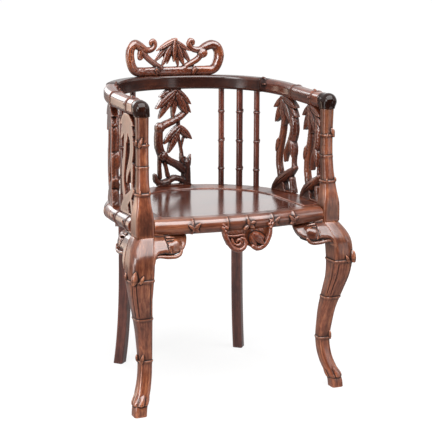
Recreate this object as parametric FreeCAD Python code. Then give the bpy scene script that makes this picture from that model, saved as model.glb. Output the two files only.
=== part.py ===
"""Horseshoe-back armchair in carved hardwood, every stick cut to look like bamboo.

Lengths are millimetres and angles are degrees. The chair faces -Y, +Z is up, and left and
right are as seen from the front, with +X to the right. It is drawn with the front posts on the
line y = 0 and is centred on its footprint at the end, so the finished origin lies on the floor
under the middle of the chair.
"""

import FreeCAD, Part
import math
import os

V = FreeCAD.Vector
UP = V(0, 0, 1)

# Seat frame, panel and battens
seat_height = 472.0           # floor to the top of the frame
seat_rail_depth = 38.0        # height of the rails, half-round on the outside
half_spread = 248.0           # middle of the chair to the posts
back_radius = 246.0           # round back: the line of splats and spindles
side_run = 180.0              # posts to the centre of the round back
seat_overhang = 23.0          # seat edge outside that line
frame_inside = 58.0           # frame inside that line, up to the panel
front_rail_width = 43.0
front_setback = 3.0           # rail face behind the face of the corner blocks
front_bow = 28.0              # bulge of the front rail at its middle
panel_thickness = 14.0
panel_drop = 3.0              # panel face below the frame
tongue_reach = 8.0
tongue_thickness = 6.0
batten_width = 36.0
batten_depth = 16.0
batten_places = (70.0, 230.0)
front_rail_nodes = (-135.0, -48.0, 4.0, 72.0, 135.0)
side_rail_nodes = (62.0, 137.0)

# Front posts
post_block = 46.0             # square block at the seat corner
block_rise = 12.0             # block above the seat before it narrows
post_width = 31.0
post_lean_back = 8.0
post_lean_in = 4.0
post_height = 242.0           # seat to the joint under the arm end
post_nodes = (0.22, 0.49, 0.715)  # shares of the post's height over its block

# Arms, back rail and crest
arm_width = 36.0
arm_thickness = 37.0
arm_round = 15.0
elbow_bend = 19.0             # radius of the turn from post to arm
elbow_knob = 41.0             # ball that swells the turn
knob_outset = 3.0             # ball outside the middle of the post
back_rise = 23.5              # climb of the rail from the posts to the back
back_round = 7.0
joint_angle = 30.0            # arm meets back rail, measured at the round back's centre
arm_nodes = (65.0, 175.5)
crest_bow = 20.0              # bow of the crest over its own width
crest_half_width = 141.0
crest_setback = 5.0           # crest middle in front of the splat line at the back
crest_bar_height = 24.0
crest_bar_depth = 20.0

# Splats and spindles
back_splat_depth = 28.0
arm_splat_depth = 26.0
arm_splat_places = (88.0, 228.0)
spindle_angles = (34.7, 46.6, 58.6)
spindle_diameters = (15.0, 17.0, 15.0)
spindle_nodes = (46.0, 124.0, 204.0)

# Legs, brackets and aprons
knee_out = 17.0               # swing of the knee to the side
knee_forward = 34.0
ankle_in = 5.5
ankle_back = 8.0
foot_out = 21.0               # swing of the foot, to the side and to the front alike
knee_width = 55.0
ankle_width = 32.0
hoof_diameter = 41.5
hoof_height = 53.0
sole_diameter = 35.0
sole_height = 26.0
leg_nodes = (0.296, 0.55, 0.78)   # shares of the front leg's height
rear_leg_width = 28.0
rear_leg_angle = 48.0
rear_leg_outset = 1.0         # top of the leg outside the splat line
rear_foot_kick = 21.0
bracket_length = 80.0
bracket_drop = 60.0
bracket_thickness = 19.0
bracket_proud = 21.0          # bracket board in front of the ends of the front rail
side_bracket_length = 82.0
side_bracket_proud = 3.0
side_bracket_back = 15.0      # branch of the side bracket behind that of the front one
apron_drop = 44.0
apron_thickness = 16.0
rear_bracket_sweep = 10.0     # angle covered beside each rear leg
pendant_half_width = 64.0
pendant_drop = 44.0
pendant_thickness = 18.0
pendant_proud = 0.0

# Joinery
fit = 0.15                    # clearance on every side of a tenon, tongue or dowel
tenon_length = 12.0
rail_tenon_width = 10.0
rail_tenon_height = 20.0
leg_tenon = 18.0
rear_leg_tenon = 14.0
post_tenon = 14.0
spindle_tenon = 9.0
splat_tenon_width = 18.0
splat_tenon_depth = 9.0
dowel_diameter = 9.0
dowel_length = 24.0
crest_dowel_places = (-85.0, 0.0, 85.0)
node_rise = 2.2               # swelling of a bamboo node over the stick
node_height = 9.0

# Levels and places that follow from the sizes above
rail_floor = seat_height - seat_rail_depth
post_top = seat_height + post_height
post_top_x = half_spread - post_lean_in
arm_start = post_lean_back + elbow_bend
arm_axis = post_top + elbow_bend
back_y = side_run + back_radius
side_taper = half_spread - back_radius
block_half = post_block / 2
front_face = front_setback - block_half
front_half_span = half_spread - block_half
front_radius = (front_half_span ** 2 + front_bow ** 2) / (2 * front_bow)
front_centre = front_face - front_bow + front_radius
panel_top = seat_height - panel_drop
panel_floor = panel_top - panel_thickness
tongue_floor = panel_floor + (panel_thickness - tongue_thickness) / 2

nodes = {}


# Shapes used by several pieces

def wire(points):
    return Part.makePolygon(list(points) + [points[0]])


def arc(a, b, c):
    return Part.Arc(a, b, c).toShape()


def box(x0, x1, y0, y1, z0, z1):
    return Part.makeBox(x1 - x0, y1 - y0, z1 - z0, V(x0, y0, z0))


def rounded_rectangle(centre, side, rise, width, height, radius):
    """Closed outline with round corners; side and rise are its unit directions."""
    straight_w = width / 2 - radius
    straight_h = height / 2 - radius
    lean = radius * math.sqrt(0.5)

    def at(s, r):
        return centre + side * s + rise * r

    edges = []
    for a, b in ((1, 1), (-1, 1), (-1, -1), (1, -1)):
        flat_side = at(a * width / 2, b * straight_h)
        flat_top = at(a * straight_w, b * height / 2)
        corner = at(a * (straight_w + lean), b * (straight_h + lean))
        ends = (flat_side, flat_top) if a * b > 0 else (flat_top, flat_side)
        edges.append((arc(ends[0], corner, ends[1]), ends))
    outline = []
    for index, (edge, ends) in enumerate(edges):
        following = edges[(index + 1) % 4][1]
        outline.append(edge)
        outline.append(Part.LineSegment(ends[1], following[0]).toShape())
    return Part.Wire(outline)


def square_section(x, y, z, width, radius_share=0.3, turn=0.0):
    angle = math.radians(turn)
    side = V(math.cos(angle), math.sin(angle), 0)
    ahead = V(-math.sin(angle), math.cos(angle), 0)
    return rounded_rectangle(V(x, y, z), side, ahead, width, width, width * radius_share)


def loft(sections, ruled=False):
    return Part.makeLoft(sections, True, ruled)


def fuse(shapes):
    return shapes[0].multiFuse(shapes[1:]) if len(shapes) > 1 else shapes[0]


def turned(profile, x, y):
    """Solid of revolution about a vertical axis; profile is a list of (radius, height)."""
    points = [V(x, y, profile[0][1])]
    points += [V(x + r, y, z) for r, z in profile]
    points.append(V(x, y, profile[-1][1]))
    return Part.Face(wire(points)).revolve(V(x, y, 0), UP, 360)


def between(low, high, share):
    return low + (high - low) * share


def curve_value(stations, height):
    """Straight-line reading of (height, value) stations listed from low to high."""
    for (h0, v0), (h1, v1) in zip(stations, stations[1:]):
        if height <= h1:
            return between(v0, v1, (height - h0) / (h1 - h0))
    return stations[-1][1]


def stem(points, radii):
    """Round stick along a smooth path, its radius changing evenly between the given radii."""
    path = Part.BSplineCurve()
    path.interpolate(points)
    first, last = path.FirstParameter, path.LastParameter
    count = 2 * (len(points) - 1)
    sections = []
    for index in range(count + 1):
        share = index / count
        place = share * (len(radii) - 1)
        step = min(int(place), len(radii) - 2)
        radius = between(radii[step], radii[step + 1], place - step)
        at = between(first, last, share)
        circle = Part.Circle(path.value(at), V(*path.tangent(at)[0]), radius)
        sections.append(Part.Wire(circle.toShape()))
    return loft(sections)


def leaf(root, tip, width, thickness):
    """Flat willow leaf standing in a plane across Y; root and tip are its end points."""
    run = tip - root
    across = V(-run.z, 0, run.x).normalize() * (width / 2)
    half = V(0, thickness / 2, 0)
    middle = root + run * 0.45
    edge = [arc(root - half, middle + across - half, tip - half)]
    edge.append(arc(tip - half, middle - across - half, root - half))
    return Part.Face(Part.Wire(edge)).extrude(half * 2)


def carving(stems, leaves, knots, depth, place):
    """Openwork of stems (points, radii), leaves (root, tip, width, lift) and round knots, joined in one.

    Points are (across, height) pairs, which place() turns into space; lift is toward the front.
    """
    solids = []
    for points, radii in stems:
        solids.append(stem([place(u, h, 0) for u, h in points], radii))
    for root, tip, width, lift in leaves:
        root_at = place(root[0], root[1], -lift)
        tip_at = place(tip[0], tip[1], -lift)
        tip_at.y = root_at.y
        solids.append(leaf(root_at, tip_at, width, depth * 0.5))
    for u, h, radius in knots:
        solids.append(Part.makeSphere(radius, place(u, h, 1)))
    return fuse(solids)


def mirrored(shape):
    return shape.mirror(V(0, 0, 0), V(1, 0, 0))


def add_pair(name, suffix, right):
    """The piece on the +X side and its mirror image, as two nodes."""
    nodes[f"{name}_right{suffix}"] = right
    nodes[f"{name}_left{suffix}"] = mirrored(right)


# Plan of the horseshoe

def plan_point(angle, radius=back_radius):
    a = math.radians(angle)
    return V(radius * math.cos(a), side_run + radius * math.sin(a), 0)


def side_line(y):
    """Distance of the posts, splats and spindles from the middle of the chair at a depth y."""
    if y < side_run:
        return half_spread - side_taper * y / side_run
    return math.sqrt(back_radius ** 2 - (y - side_run) ** 2)


def rail_lift(y):
    """Height of the arm and back rail above the arm ends, easing up towards the back."""
    share = min(max((y - arm_start) / (back_y - arm_start), 0), 1)
    return back_rise * (1 - math.cos(math.pi * share)) / 2


def rail_underside(y, reach=0.0):
    """Lowest point of the rail over a foot that reaches this far each way."""
    return arm_axis + rail_lift(y - reach) - arm_thickness / 2


# Seat frame

def seat_profile(reach, width):
    """Rail section as (distance, height) with a half-round edge and a groove for the panel."""
    half = seat_rail_depth / 2
    inside = reach - width
    groove_in = inside + tongue_reach + fit
    low = tongue_floor - fit
    high = tongue_floor + tongue_thickness + fit
    corners = [(reach - half, seat_height), (inside, seat_height), (inside, high), (groove_in, high)]
    corners += [(groove_in, low), (inside, low), (inside, rail_floor), (reach - half, rail_floor)]
    return corners, (reach, rail_floor + half)


def seat_section(reach, width, place):
    corners, nose = seat_profile(reach, width)
    points = [place(r, z) for r, z in corners]
    edges = [Part.LineSegment(a, b).toShape() for a, b in zip(points, points[1:])]
    edges.append(arc(points[-1], place(*nose), points[0]))
    return Part.Face(Part.Wire(edges))


def nose_bead(reach, place):
    """Section of a bamboo node on the half-round edge of a seat rail."""
    half = seat_rail_depth / 2
    low = place(reach - half, rail_floor + 1)
    high = place(reach - half, seat_height - 1)
    edges = [arc(low, place(reach + node_rise, rail_floor + half), high)]
    edges.append(Part.LineSegment(high, low).toShape())
    return Part.Face(Part.Wire(edges))


def front_seat_rail():
    axis = V(0, front_centre, 0)
    sweep = 2 * math.degrees(math.asin(front_half_span / front_radius))

    def place(r, z):
        return V(0, front_centre - r, z)

    def swept(face, start, angle):
        face.rotate(axis, UP, start)
        return face.revolve(axis, UP, angle)

    rail = swept(seat_section(front_radius, front_rail_width, place), -sweep / 2 - 1, sweep + 2)
    rail = rail.common(box(-front_half_span, front_half_span, -half_spread, half_spread, 0, seat_height))
    bead = math.degrees(node_height / front_radius)
    for x in front_rail_nodes:
        angle = math.degrees(math.asin(x / front_radius))
        rail = rail.fuse(swept(nose_bead(front_radius, place), angle - bead / 2, bead))
    reach = front_half_span + tenon_length
    half = rail_tenon_width / 2
    low = rail_floor + (seat_rail_depth - rail_tenon_height) / 2
    for side in (-1, 1):
        ends = sorted((side * (front_half_span - 1), side * reach))
        rail = rail.fuse(box(ends[0], ends[1], -half, half, low, low + rail_tenon_height))
    return rail.removeSplitter()


def front_opening(low, high, grow=0.0):
    """Upright cylinder whose wall is the inner face of the front rail."""
    radius = front_radius - front_rail_width + grow
    return Part.makeCylinder(radius, high - low, V(0, front_centre, low))


def side_seat_rail():
    start = front_face - front_bow
    run = V(side_line(side_run) - side_line(start), side_run - start, 0)

    def place(r, z):
        return V(side_line(start) + r, start, z)

    rail = seat_section(seat_overhang, seat_overhang + frame_inside, place).extrude(run)
    corner = box(front_half_span, 2 * half_spread, start, block_half, 0, seat_height + 1)
    front = box(0, front_half_span, start, side_run, 0, seat_height + 1)
    front = front.cut(front_opening(0, seat_height + 1))
    rail = rail.cut(fuse([corner, front]))
    for y in side_rail_nodes:
        bead = nose_bead(seat_overhang, place)
        bead.translate(run * ((y - node_height / 2 - start) / run.y))
        rail = rail.fuse(bead.extrude(run * (node_height / run.y)))
    half = rail_tenon_width / 2
    low = rail_floor + (seat_rail_depth - rail_tenon_height) / 2
    tenon = box(half_spread - half, half_spread + half, block_half - tenon_length, block_half + 1,
                low, low + rail_tenon_height)
    return rail.fuse(tenon).removeSplitter()


def back_seat_rail():
    axis = V(0, side_run, 0)

    def place(r, z):
        return V(back_radius + r, side_run, z)

    section = seat_section(seat_overhang, seat_overhang + frame_inside, place)
    return section.revolve(axis, UP, 90)


def panel_plate(grow, low, high):
    """Plate with the outline of the panel opening, grown outwards all round."""
    edge = grow - frame_inside
    start = front_face - front_bow
    corners = [V(side_line(y) + edge, y, low) for y in (start, side_run)]
    corners += [V(-at.x, at.y, low) for at in reversed(corners)]
    plate = Part.Face(wire(corners)).extrude(V(0, 0, high - low))
    plate = plate.fuse(Part.makeCylinder(back_radius + edge, high - low, V(0, side_run, low)))
    return plate.common(front_opening(low, high, grow))


def seat_panel():
    plate = panel_plate(-fit, panel_floor, panel_top)
    tongue = panel_plate(tongue_reach - fit, tongue_floor, tongue_floor + tongue_thickness)
    return plate.fuse(tongue).removeSplitter()


def panel_batten(y):
    low = panel_floor - batten_depth
    bar = box(-half_spread, half_spread, y - batten_width / 2, y + batten_width / 2, low, panel_floor)
    return bar.common(panel_plate(-fit, low, panel_floor))


# Posts, arms and back rail

def front_post():
    block_top = seat_height + block_rise
    block_wire = square_section(half_spread, 0, rail_floor, post_block, 0.07)
    block = Part.Face(block_wire).extrude(V(0, 0, block_top - rail_floor))
    # share of the height, width, share of the lean
    stations = ((0.0, post_block, 0.0), (0.04, post_block - 5, 0.0), (0.09, post_width + 4, 0.05))
    stations += ((0.22, post_width + 3, 0.35), (0.5, post_width, 0.95), (0.75, post_width - 1, 1.05))
    stations += ((1.0, post_width, 1.0),)
    sections = []
    for share, width, lean in stations:
        x = half_spread - post_lean_in * lean
        z = between(block_top, post_top, share)
        sections.append(square_section(x, post_lean_back * lean, z, width))
    pieces = [block, loft(sections)]
    lean_at = [(share, lean) for share, width, lean in stations]
    width_at = [(share, width) for share, width, lean in stations]
    for share in post_nodes:
        lean = curve_value(lean_at, share)
        place = (half_spread - post_lean_in * lean, post_lean_back * lean)
        pieces.append(node_ring(place, between(block_top, post_top, share), curve_value(width_at, share)))
    tenon_foot = V(post_top_x, post_lean_back, post_top - 1)
    pieces.append(Part.makeCylinder(post_tenon / 2, tenon_length + 1, tenon_foot))
    post = fuse(pieces)
    socket = leg_tenon + 2 * fit
    floor_socket = Part.makeBox(socket, socket, tenon_length + fit)
    floor_socket.translate(V(half_spread - socket / 2, -socket / 2, rail_floor))
    half = rail_tenon_width / 2 + fit
    low = rail_floor + (seat_rail_depth - rail_tenon_height) / 2 - fit
    high = low + rail_tenon_height + 2 * fit
    inner = half_spread - block_half
    front_socket = box(inner - 1, inner + tenon_length + fit, -half, half, low, high)
    side_socket = box(half_spread - half, half_spread + half, block_half - tenon_length - fit,
                      block_half + 1, low, high)
    return post.cut(fuse([floor_socket, front_socket, side_socket]))


def node_ring(place, z, width, turn=0.0, grow=node_rise):
    """Swollen ring of a bamboo node round an upright square stick."""
    half = node_height / 2
    sections = []
    for lift, extra in ((-half, 0.4), (-half * 0.3, 2 * grow), (half * 0.3, 2 * grow), (half, 0.4)):
        sections.append(square_section(place[0], place[1], z + lift, width + extra, 0.3, turn))
    return loft(sections, True)


def arm_end():
    centre = V(post_top_x, post_lean_back, post_top)
    axis_point = V(post_top_x, arm_start, post_top)
    section = rounded_rectangle(centre, V(1, 0, 0), V(0, 1, 0), arm_width, arm_thickness, arm_round)
    bend = Part.Face(section).revolve(axis_point, V(1, 0, 0), -90)
    knob = Part.makeSphere(elbow_knob / 2, V(post_top_x + knob_outset, post_lean_back - 1, arm_axis - 1))
    above = box(0, 2 * half_spread, -half_spread, arm_start, post_top, 2 * post_top)
    bend = bend.fuse(knob.common(above))
    socket = Part.makeCylinder(post_tenon / 2 + fit, tenon_length + fit, V(centre.x, centre.y, post_top))
    return bend.cut(socket).cut(dowel_hole(V(post_top_x, arm_start, arm_axis), V(0, 1, 0)))


def dowel(centre, direction, clearance=0.0):
    length = dowel_length + 2 * clearance
    start = centre - direction * (length / 2)
    return Part.makeCylinder(dowel_diameter / 2 + clearance, length, start, direction)


def dowel_hole(centre, direction):
    return dowel(centre, direction, fit)


def rail_section(x, y, direction, radius, grow=0.0):
    """Section of the arm or back rail across its run; direction points outwards."""
    centre = V(x, y, arm_axis + rail_lift(y))
    return rounded_rectangle(centre, direction, UP, arm_width + grow, arm_thickness + grow, radius)


def arc_section(angle, radius, grow=0.0):
    outwards = plan_point(angle, 1) - V(0, side_run, 0)
    at = plan_point(angle, back_radius)
    return rail_section(at.x, at.y, outwards, radius, grow)


def side_section(y, radius, grow=0.0):
    """Section on the straight side, where the rail drifts out from the post to its full outset."""
    share = min(max((y - arm_start) / (side_run - arm_start), 0), 1)
    x = between(post_top_x, back_radius, share * (2 - share))
    return rail_section(x, y, V(1, 0, 0), radius, grow)


def rail_mortise(x, y, width, depth, turn, top):
    """Hole in the underside of a rail for the tenon of a splat."""
    reach = top - rail_underside(y) + 20
    hole = box(-width / 2 - fit, width / 2 + fit, -depth / 2 - fit, depth / 2 + fit, top - reach, top + fit)
    hole.rotate(V(0, 0, 0), UP, turn)
    hole.translate(V(x, y, 0))
    return hole


def joint_dowel_place(angle):
    at = plan_point(angle, back_radius)
    return V(at.x, at.y, arm_axis + rail_lift(at.y))


def joint_direction(angle):
    a = math.radians(angle)
    return V(-math.sin(a), math.cos(a), 0)


def arm_rail():
    straight = [side_section(between(arm_start, side_run, s / 4), arm_round) for s in range(4)]
    bend = [arc_section(joint_angle * s / 4, arm_round) for s in range(5)]
    pieces = [loft(straight + bend)]
    half = node_height / 2
    for y in arm_nodes:
        ring = [side_section(y - half, arm_round, 0.4), side_section(y, arm_round, 2 * node_rise)]
        ring.append(side_section(y + half, arm_round, 0.4))
        pieces.append(loft(ring, True))
    rail = fuse(pieces)
    holes = [dowel_hole(V(post_top_x, arm_start, arm_axis), V(0, 1, 0))]
    holes.append(dowel_hole(joint_dowel_place(joint_angle), joint_direction(joint_angle)))
    for y in arm_splat_places:
        x, turn = splat_place(y)
        holes.append(rail_mortise(x, y, splat_tenon_width, splat_tenon_depth, turn, splat_top(y)))
    return rail.cut(fuse(holes))


def back_rail():
    steps = 12
    sweep = 180 - 2 * joint_angle
    rail = loft([arc_section(joint_angle + sweep * s / steps, back_round) for s in range(steps + 1)])
    holes = []
    for angle in (joint_angle, 180 - joint_angle):
        holes.append(dowel_hole(joint_dowel_place(angle), joint_direction(angle)))
    for index, angle in enumerate(spindle_angles):
        for turn in (angle, 180 - angle):
            at = plan_point(turn)
            at.z = spindle_shoulder(index) + tenon_length + fit
            holes.append(Part.makeCylinder(spindle_tenon / 2 + fit, 2 * tenon_length, at, UP * -1))
    holes.append(rail_mortise(0, back_y, splat_tenon_width, splat_tenon_depth, 0, splat_top(back_y)))
    for u in crest_dowel_places:
        holes.append(dowel_hole(V(u, crest_y(u), crest_floor()), UP))
    return rail.cut(fuse(holes))


# Spindles

def spindle_shoulder(index):
    return rail_underside(plan_point(spindle_angles[index]).y, spindle_diameters[index] / 2)


def back_spindle(index):
    radius = spindle_diameters[index] / 2
    at = plan_point(spindle_angles[index])
    top = spindle_shoulder(index)
    profile = [(spindle_tenon / 2, seat_height - tenon_length), (spindle_tenon / 2, seat_height)]
    profile.append((radius, seat_height))
    for rise in spindle_nodes:
        z = seat_height + rise
        profile += [(radius - 0.6, z - node_height), (radius + 1.4, z - 1.5), (radius + 1.4, z + 1.5)]
        profile.append((radius - 0.6, z + node_height))
    profile += [(radius, top), (spindle_tenon / 2, top), (spindle_tenon / 2, top + tenon_length)]
    return turned(profile, at.x, at.y)


# Splats

def splat_place(y):
    """Where a splat stands on the side of the horseshoe, and how far its face is turned."""
    bend = math.degrees(math.asin(max(y - side_run, 0) / back_radius))
    return side_line(y), bend - 90


def splat_shoulder(y):
    return rail_underside(y, splat_tenon_width / 2)


def splat_top(y):
    return splat_shoulder(y) + tenon_length


def splat_feet(half_width, depth, top):
    """Foot on the seat, the tenons at both ends and the neck under the rail."""
    half = splat_tenon_width / 2
    tenon_half = splat_tenon_depth / 2
    foot = box(-half_width, half_width, -depth / 2, depth / 2, 0, 9)
    lower = box(-half, half, -tenon_half, tenon_half, -tenon_length, 1)
    neck = box(-half, half, -depth * 0.36, depth * 0.36, top - 7, top)
    upper = box(-half, half, -tenon_half, tenon_half, top - 1, top + tenon_length)
    return [foot, lower, neck, upper]


def back_splat():
    top = splat_shoulder(back_y) - seat_height
    drawn = 267.0
    trunk = [(38, 203), (20, 189), (-4, 177), (-26, 167), (-39, 150), (-42, 128), (-40, 106)]
    trunk += [(-30, 83), (-8, 68), (12, 57), (30, 43), (39, 25), (40, 4)]
    stems = [(trunk, (8.5, 9.5, 11.5, 12.0, 11.0, 11.0, 12.5))]
    stems.append((((36, 3), (37, 34), (39, 62)), (12.0, 12.5, 9.0)))
    stems.append((((30, 52), (25, 72), (22, 88)), (8.0, 5.5, 2.0)))
    stems.append((((44, 54), (48, 70), (51, 84)), (8.0, 5.0, 2.0)))
    stems.append((((18, 190), (17, 174), (16, 158)), (5.5, 4.5, 6.0)))
    stems.append((((15, 152), (18, 128), (24, 104), (29, 72)), (5.0, 4.0, 4.8)))
    stems.append((((36, 144), (30, 126), (23, 106)), (4.4, 3.7, 3.6)))
    stems.append((((-36, 80), (-39, 52), (-38, 28), (-37, 4)), (6.2, 5.0, 5.4)))
    stems.append((((-24, 76), (-20, 52), (-15, 28), (-13, 5)), (6.0, 4.8, 5.6)))
    stems.append((((-54, 32), (-49, 17), (-35, 10), (-17, 13), (1, 21), (19, 18), (35, 9)),
                  (5.0, 7.5, 8.0, 8.0, 8.5)))
    leaves = [((8, 267), (-40, 245), 18, 3.4), ((6, 264), (-51, 213), 20, 2.2)]
    leaves += [((0, 256), (-42, 186), 18, -0.8), ((2, 266), (52, 223), 19, 2.8)]
    leaves += [((6, 262), (52, 199), 19, -0.2), ((8, 256), (38, 196), 22, 1.6)]
    leaves += [((6, 254), (-2, 186), 14, 4.0), ((18, 166), (-29, 116), 18, 2.5)]
    leaves += [((17, 160), (-16, 91), 17, 0.9), ((12, 165), (54, 127), 20, 1.9)]
    knots = ((-39, 161, 13.6), (-31, 85, 13.9))
    return splat(stems, leaves, knots, back_splat_depth, 51.0, top, drawn)


def splat(stems, leaves, knots, depth, half_width, top, drawn):
    """Carved board whose drawn heights are stretched to the real height under the rail."""
    stretch = top / drawn

    def place(u, h, lift):
        return V(u, lift, h * stretch)

    board = carving(stems, leaves, knots, depth, place)
    board = board.common(box(-2 * half_width, 2 * half_width, -depth, depth, 0, top))
    return fuse([board] + splat_feet(half_width, depth, top)).removeSplitter()


def arm_splat(y):
    top = splat_shoulder(y) - seat_height
    drawn = 252.0
    stems = [(((9, 241), (23, 225), (34, 206), (40, 184), (40, 162), (32, 140), (19, 120), (8, 102), (4, 80)),
              (7.0, 8.0, 9.5, 11.0, 11.5, 11.5, 10.0, 7.5, 4.0))]
    stems.append((((-4, 243), (-5, 207), (-5, 180), (-9, 155), (-16, 128), (-23, 100), (-24, 75),
                   (-18, 50), (-12, 24)), (6.0, 7.0, 7.5, 8.0, 8.5, 8.5, 8.0, 8.5, 9.0)))
    stems.append((((40, 124), (39, 98), (38, 80), (40, 58)), (6.5, 6.0, 5.5, 6.5)))
    stems.append((((-34, 7), (-18, 24), (4, 38), (28, 54), (44, 67)), (10.0, 12.3, 12.6, 11.0, 6.0)))
    stems.append((((31, 44), (36, 21), (39, 3)), (7.0, 7.2, 8.0)))
    leaves = [((4, 250), (-40, 221), 18, 3.1), ((2, 244), (-36, 182), 22, 1.5), ((0, 246), (5, 178), 23, 3.8)]
    leaves += [((0, 249), (52, 225), 18, 2.4), ((6, 244), (52, 201), 20, 0.7), ((35, 140), (43, 94), 17, 2.7)]
    leaves += [((-14, 142), (-27, 104), 13, 2.0)]
    knots = ((37, 184, 12.7),)
    board = splat(stems, leaves, knots, arm_splat_depth, 42.0, top, drawn)
    x, turn = splat_place(y)
    board.rotate(V(0, 0, 0), UP, turn)
    board.translate(V(x, y, seat_height))
    return board


def seat_mortise(x, y, turn):
    half = splat_tenon_width / 2 + fit
    depth = splat_tenon_depth / 2 + fit
    hole = box(-half, half, -depth, depth, seat_height - tenon_length - fit, seat_height + 1)
    hole.rotate(V(0, 0, 0), UP, turn)
    hole.translate(V(x, y, 0))
    return hole


# Crest

def crest_y(u):
    return back_y - crest_setback - crest_bow * (u / crest_half_width) ** 2


def crest_floor():
    """Underside of the crest: the top of the back rail at the middle of the back."""
    return arm_axis + back_rise + arm_thickness / 2


def crest():
    floor = crest_floor()
    middle = crest_bar_height / 2
    bar_end = crest_half_width - 17

    def place(u, h, lift):
        return V(u, crest_y(u) + lift, floor + h)

    sections = []
    for step in range(-4, 5):
        u = bar_end * step / 4
        slope = -2 * crest_bow * u / crest_half_width ** 2
        across = V(-slope, 1, 0).normalize()
        at = place(u, middle, 0)
        sections.append(rounded_rectangle(at, across, UP, crest_bar_depth, crest_bar_height, 6))
    bar = loft(sections)
    curl = (11.0, 11.5, 11.0, 10.5, 10.0, 8.5, 7.3, 6.6, 6.0, 5.4, 4.4)
    stems = [(((-119, 9), (-128, 34), (-131, 60), (-127, 79), (-115, 86), (-99, 79), (-82, 70),
               (-66, 71.5), (-55, 79), (-52.5, 88), (-58, 94.5), (-66, 93)), curl)]
    stems.append((((-92, 67), (-87, 57), (-71, 43), (-52, 30), (-40, 14)), (6.0, 6.6, 6.3, 6.5, 7.5)))
    stems.append((((119, 9), (127, 35), (128, 58), (121, 76), (107, 81), (91, 76), (75, 68),
                   (58, 70.5), (46, 79), (42.5, 88), (48, 94.5), (56, 93)), curl))
    stems.append((((80, 58), (67, 42), (48, 31), (34, 22), (25, 12)), (8.0, 7.5, 7.0, 7.0, 7.5)))
    leaves = [((6, 97), (-48, 70), 15, 3.2), ((-8, 95.5), (42, 67), 15, 1.2)]
    leaves += [((-4, 89), (-54, 37), 16, -0.7)]
    leaves += [((-2, 87), (-31, 25), 18, 2.3), ((-1.5, 92), (-1, 40), 14, 4.2)]
    leaves += [((2.5, 88), (25, 25), 17, 1.7), ((4, 90), (40, 31), 16, 0.1)]
    knots = ((-97.5, 52, 9.6), (81, 58.5, 11.2))
    openwork = carving(stems, leaves, knots, crest_bar_depth, place)
    body = fuse([bar, openwork])
    body = body.common(box(-half_spread, half_spread, 0, 2 * back_y, floor, floor + 4 * crest_half_width))
    holes = [dowel_hole(V(u, crest_y(u), floor), UP) for u in crest_dowel_places]
    return body.cut(fuse(holes)).removeSplitter()


# Legs

def leg_swing(share, foot, ankle, knee):
    """How far a front leg has swung out of the upright at a share of its height."""
    stations = ((0.0, foot), (0.06, 0.95 * foot), (0.116, 0.37 * foot), (0.197, -0.42 * ankle))
    stations += ((0.29, -ankle), (0.387, -0.45 * ankle), (0.48, 0.04 * knee), (0.6, 0.5 * knee))
    stations += ((0.7, 0.89 * knee), (0.77, knee), (0.83, knee), (0.9, 0.93 * knee), (0.95, 0.6 * knee))
    return curve_value(stations + ((1.0, 0.0),), share)


def leg_place(share):
    out = leg_swing(share, foot_out, ankle_in, knee_out)
    forward = leg_swing(share, foot_out, ankle_back, knee_forward)
    return half_spread + out, -forward


def leg_width(share):
    stations = ((0.0, ankle_width + 2), (0.116, ankle_width + 3), (0.197, ankle_width + 1))
    stations += ((0.29, ankle_width),)
    stations += ((0.48, 0.72 * ankle_width + 0.28 * knee_width), (0.7, knee_width - 5), (0.83, knee_width))
    return curve_value(stations + ((0.9, knee_width - 2), (1.0, post_block)), share)


def front_leg():
    sections = []
    for share in (0.06, 0.116, 0.197, 0.29, 0.387, 0.48, 0.6, 0.7, 0.77, 0.83, 0.9, 0.95, 1.0):
        x, y = leg_place(share)
        sections.append(square_section(x, y, share * rail_floor, leg_width(share), 0.28))
    pieces = [loft(sections)]
    for share in leg_nodes:
        pieces.append(node_ring(leg_place(share), share * rail_floor, leg_width(share)))
    pieces.append(hoof())
    half = leg_tenon / 2
    pieces.append(box(half_spread - half, half_spread + half, -half, half,
                      rail_floor - 2, rail_floor + tenon_length))
    return fuse(pieces)


def hoof():
    x, y = leg_place(0.0)
    sole = sole_diameter / 2
    bulge = hoof_diameter / 2
    rise = hoof_height - sole_height
    profile = [(sole - 0.5, 0.0), (sole + 1, sole_height - 1), (bulge - 2, sole_height)]
    profile += [(bulge, sole_height + 0.25 * rise), (bulge, sole_height + 0.5 * rise)]
    profile += [(bulge - 3, sole_height + 0.85 * rise), (ankle_width / 2 - 2, hoof_height)]
    return turned(profile, x, y)


def rear_leg_place(share):
    """Leg axis at a share of its height; the kick is outwards and grows towards the floor."""
    kick = rear_foot_kick * (1 - share) ** 3.5
    return plan_point(rear_leg_angle, back_radius + rear_leg_outset + kick)


def rear_leg():
    sections = []
    for step in range(7):
        share = step / 6
        at = rear_leg_place(share)
        sections.append(square_section(at.x, at.y, share * rail_floor, rear_leg_width, 0.12, rear_leg_angle))
    at = rear_leg_place(1.0)
    tenon = Part.Face(square_section(at.x, at.y, rail_floor - 1, rear_leg_tenon, 0.1, rear_leg_angle))
    return fuse([loft(sections), tenon.extrude(V(0, 0, tenon_length + 1))])


def rear_leg_socket():
    at = rear_leg_place(1.0)
    width = rear_leg_tenon + 2 * fit
    hole = Part.Face(square_section(at.x, at.y, rail_floor - 1, width, 0.1, rear_leg_angle))
    return hole.extrude(V(0, 0, tenon_length + fit + 1))


# Brackets, aprons and pendant

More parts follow.
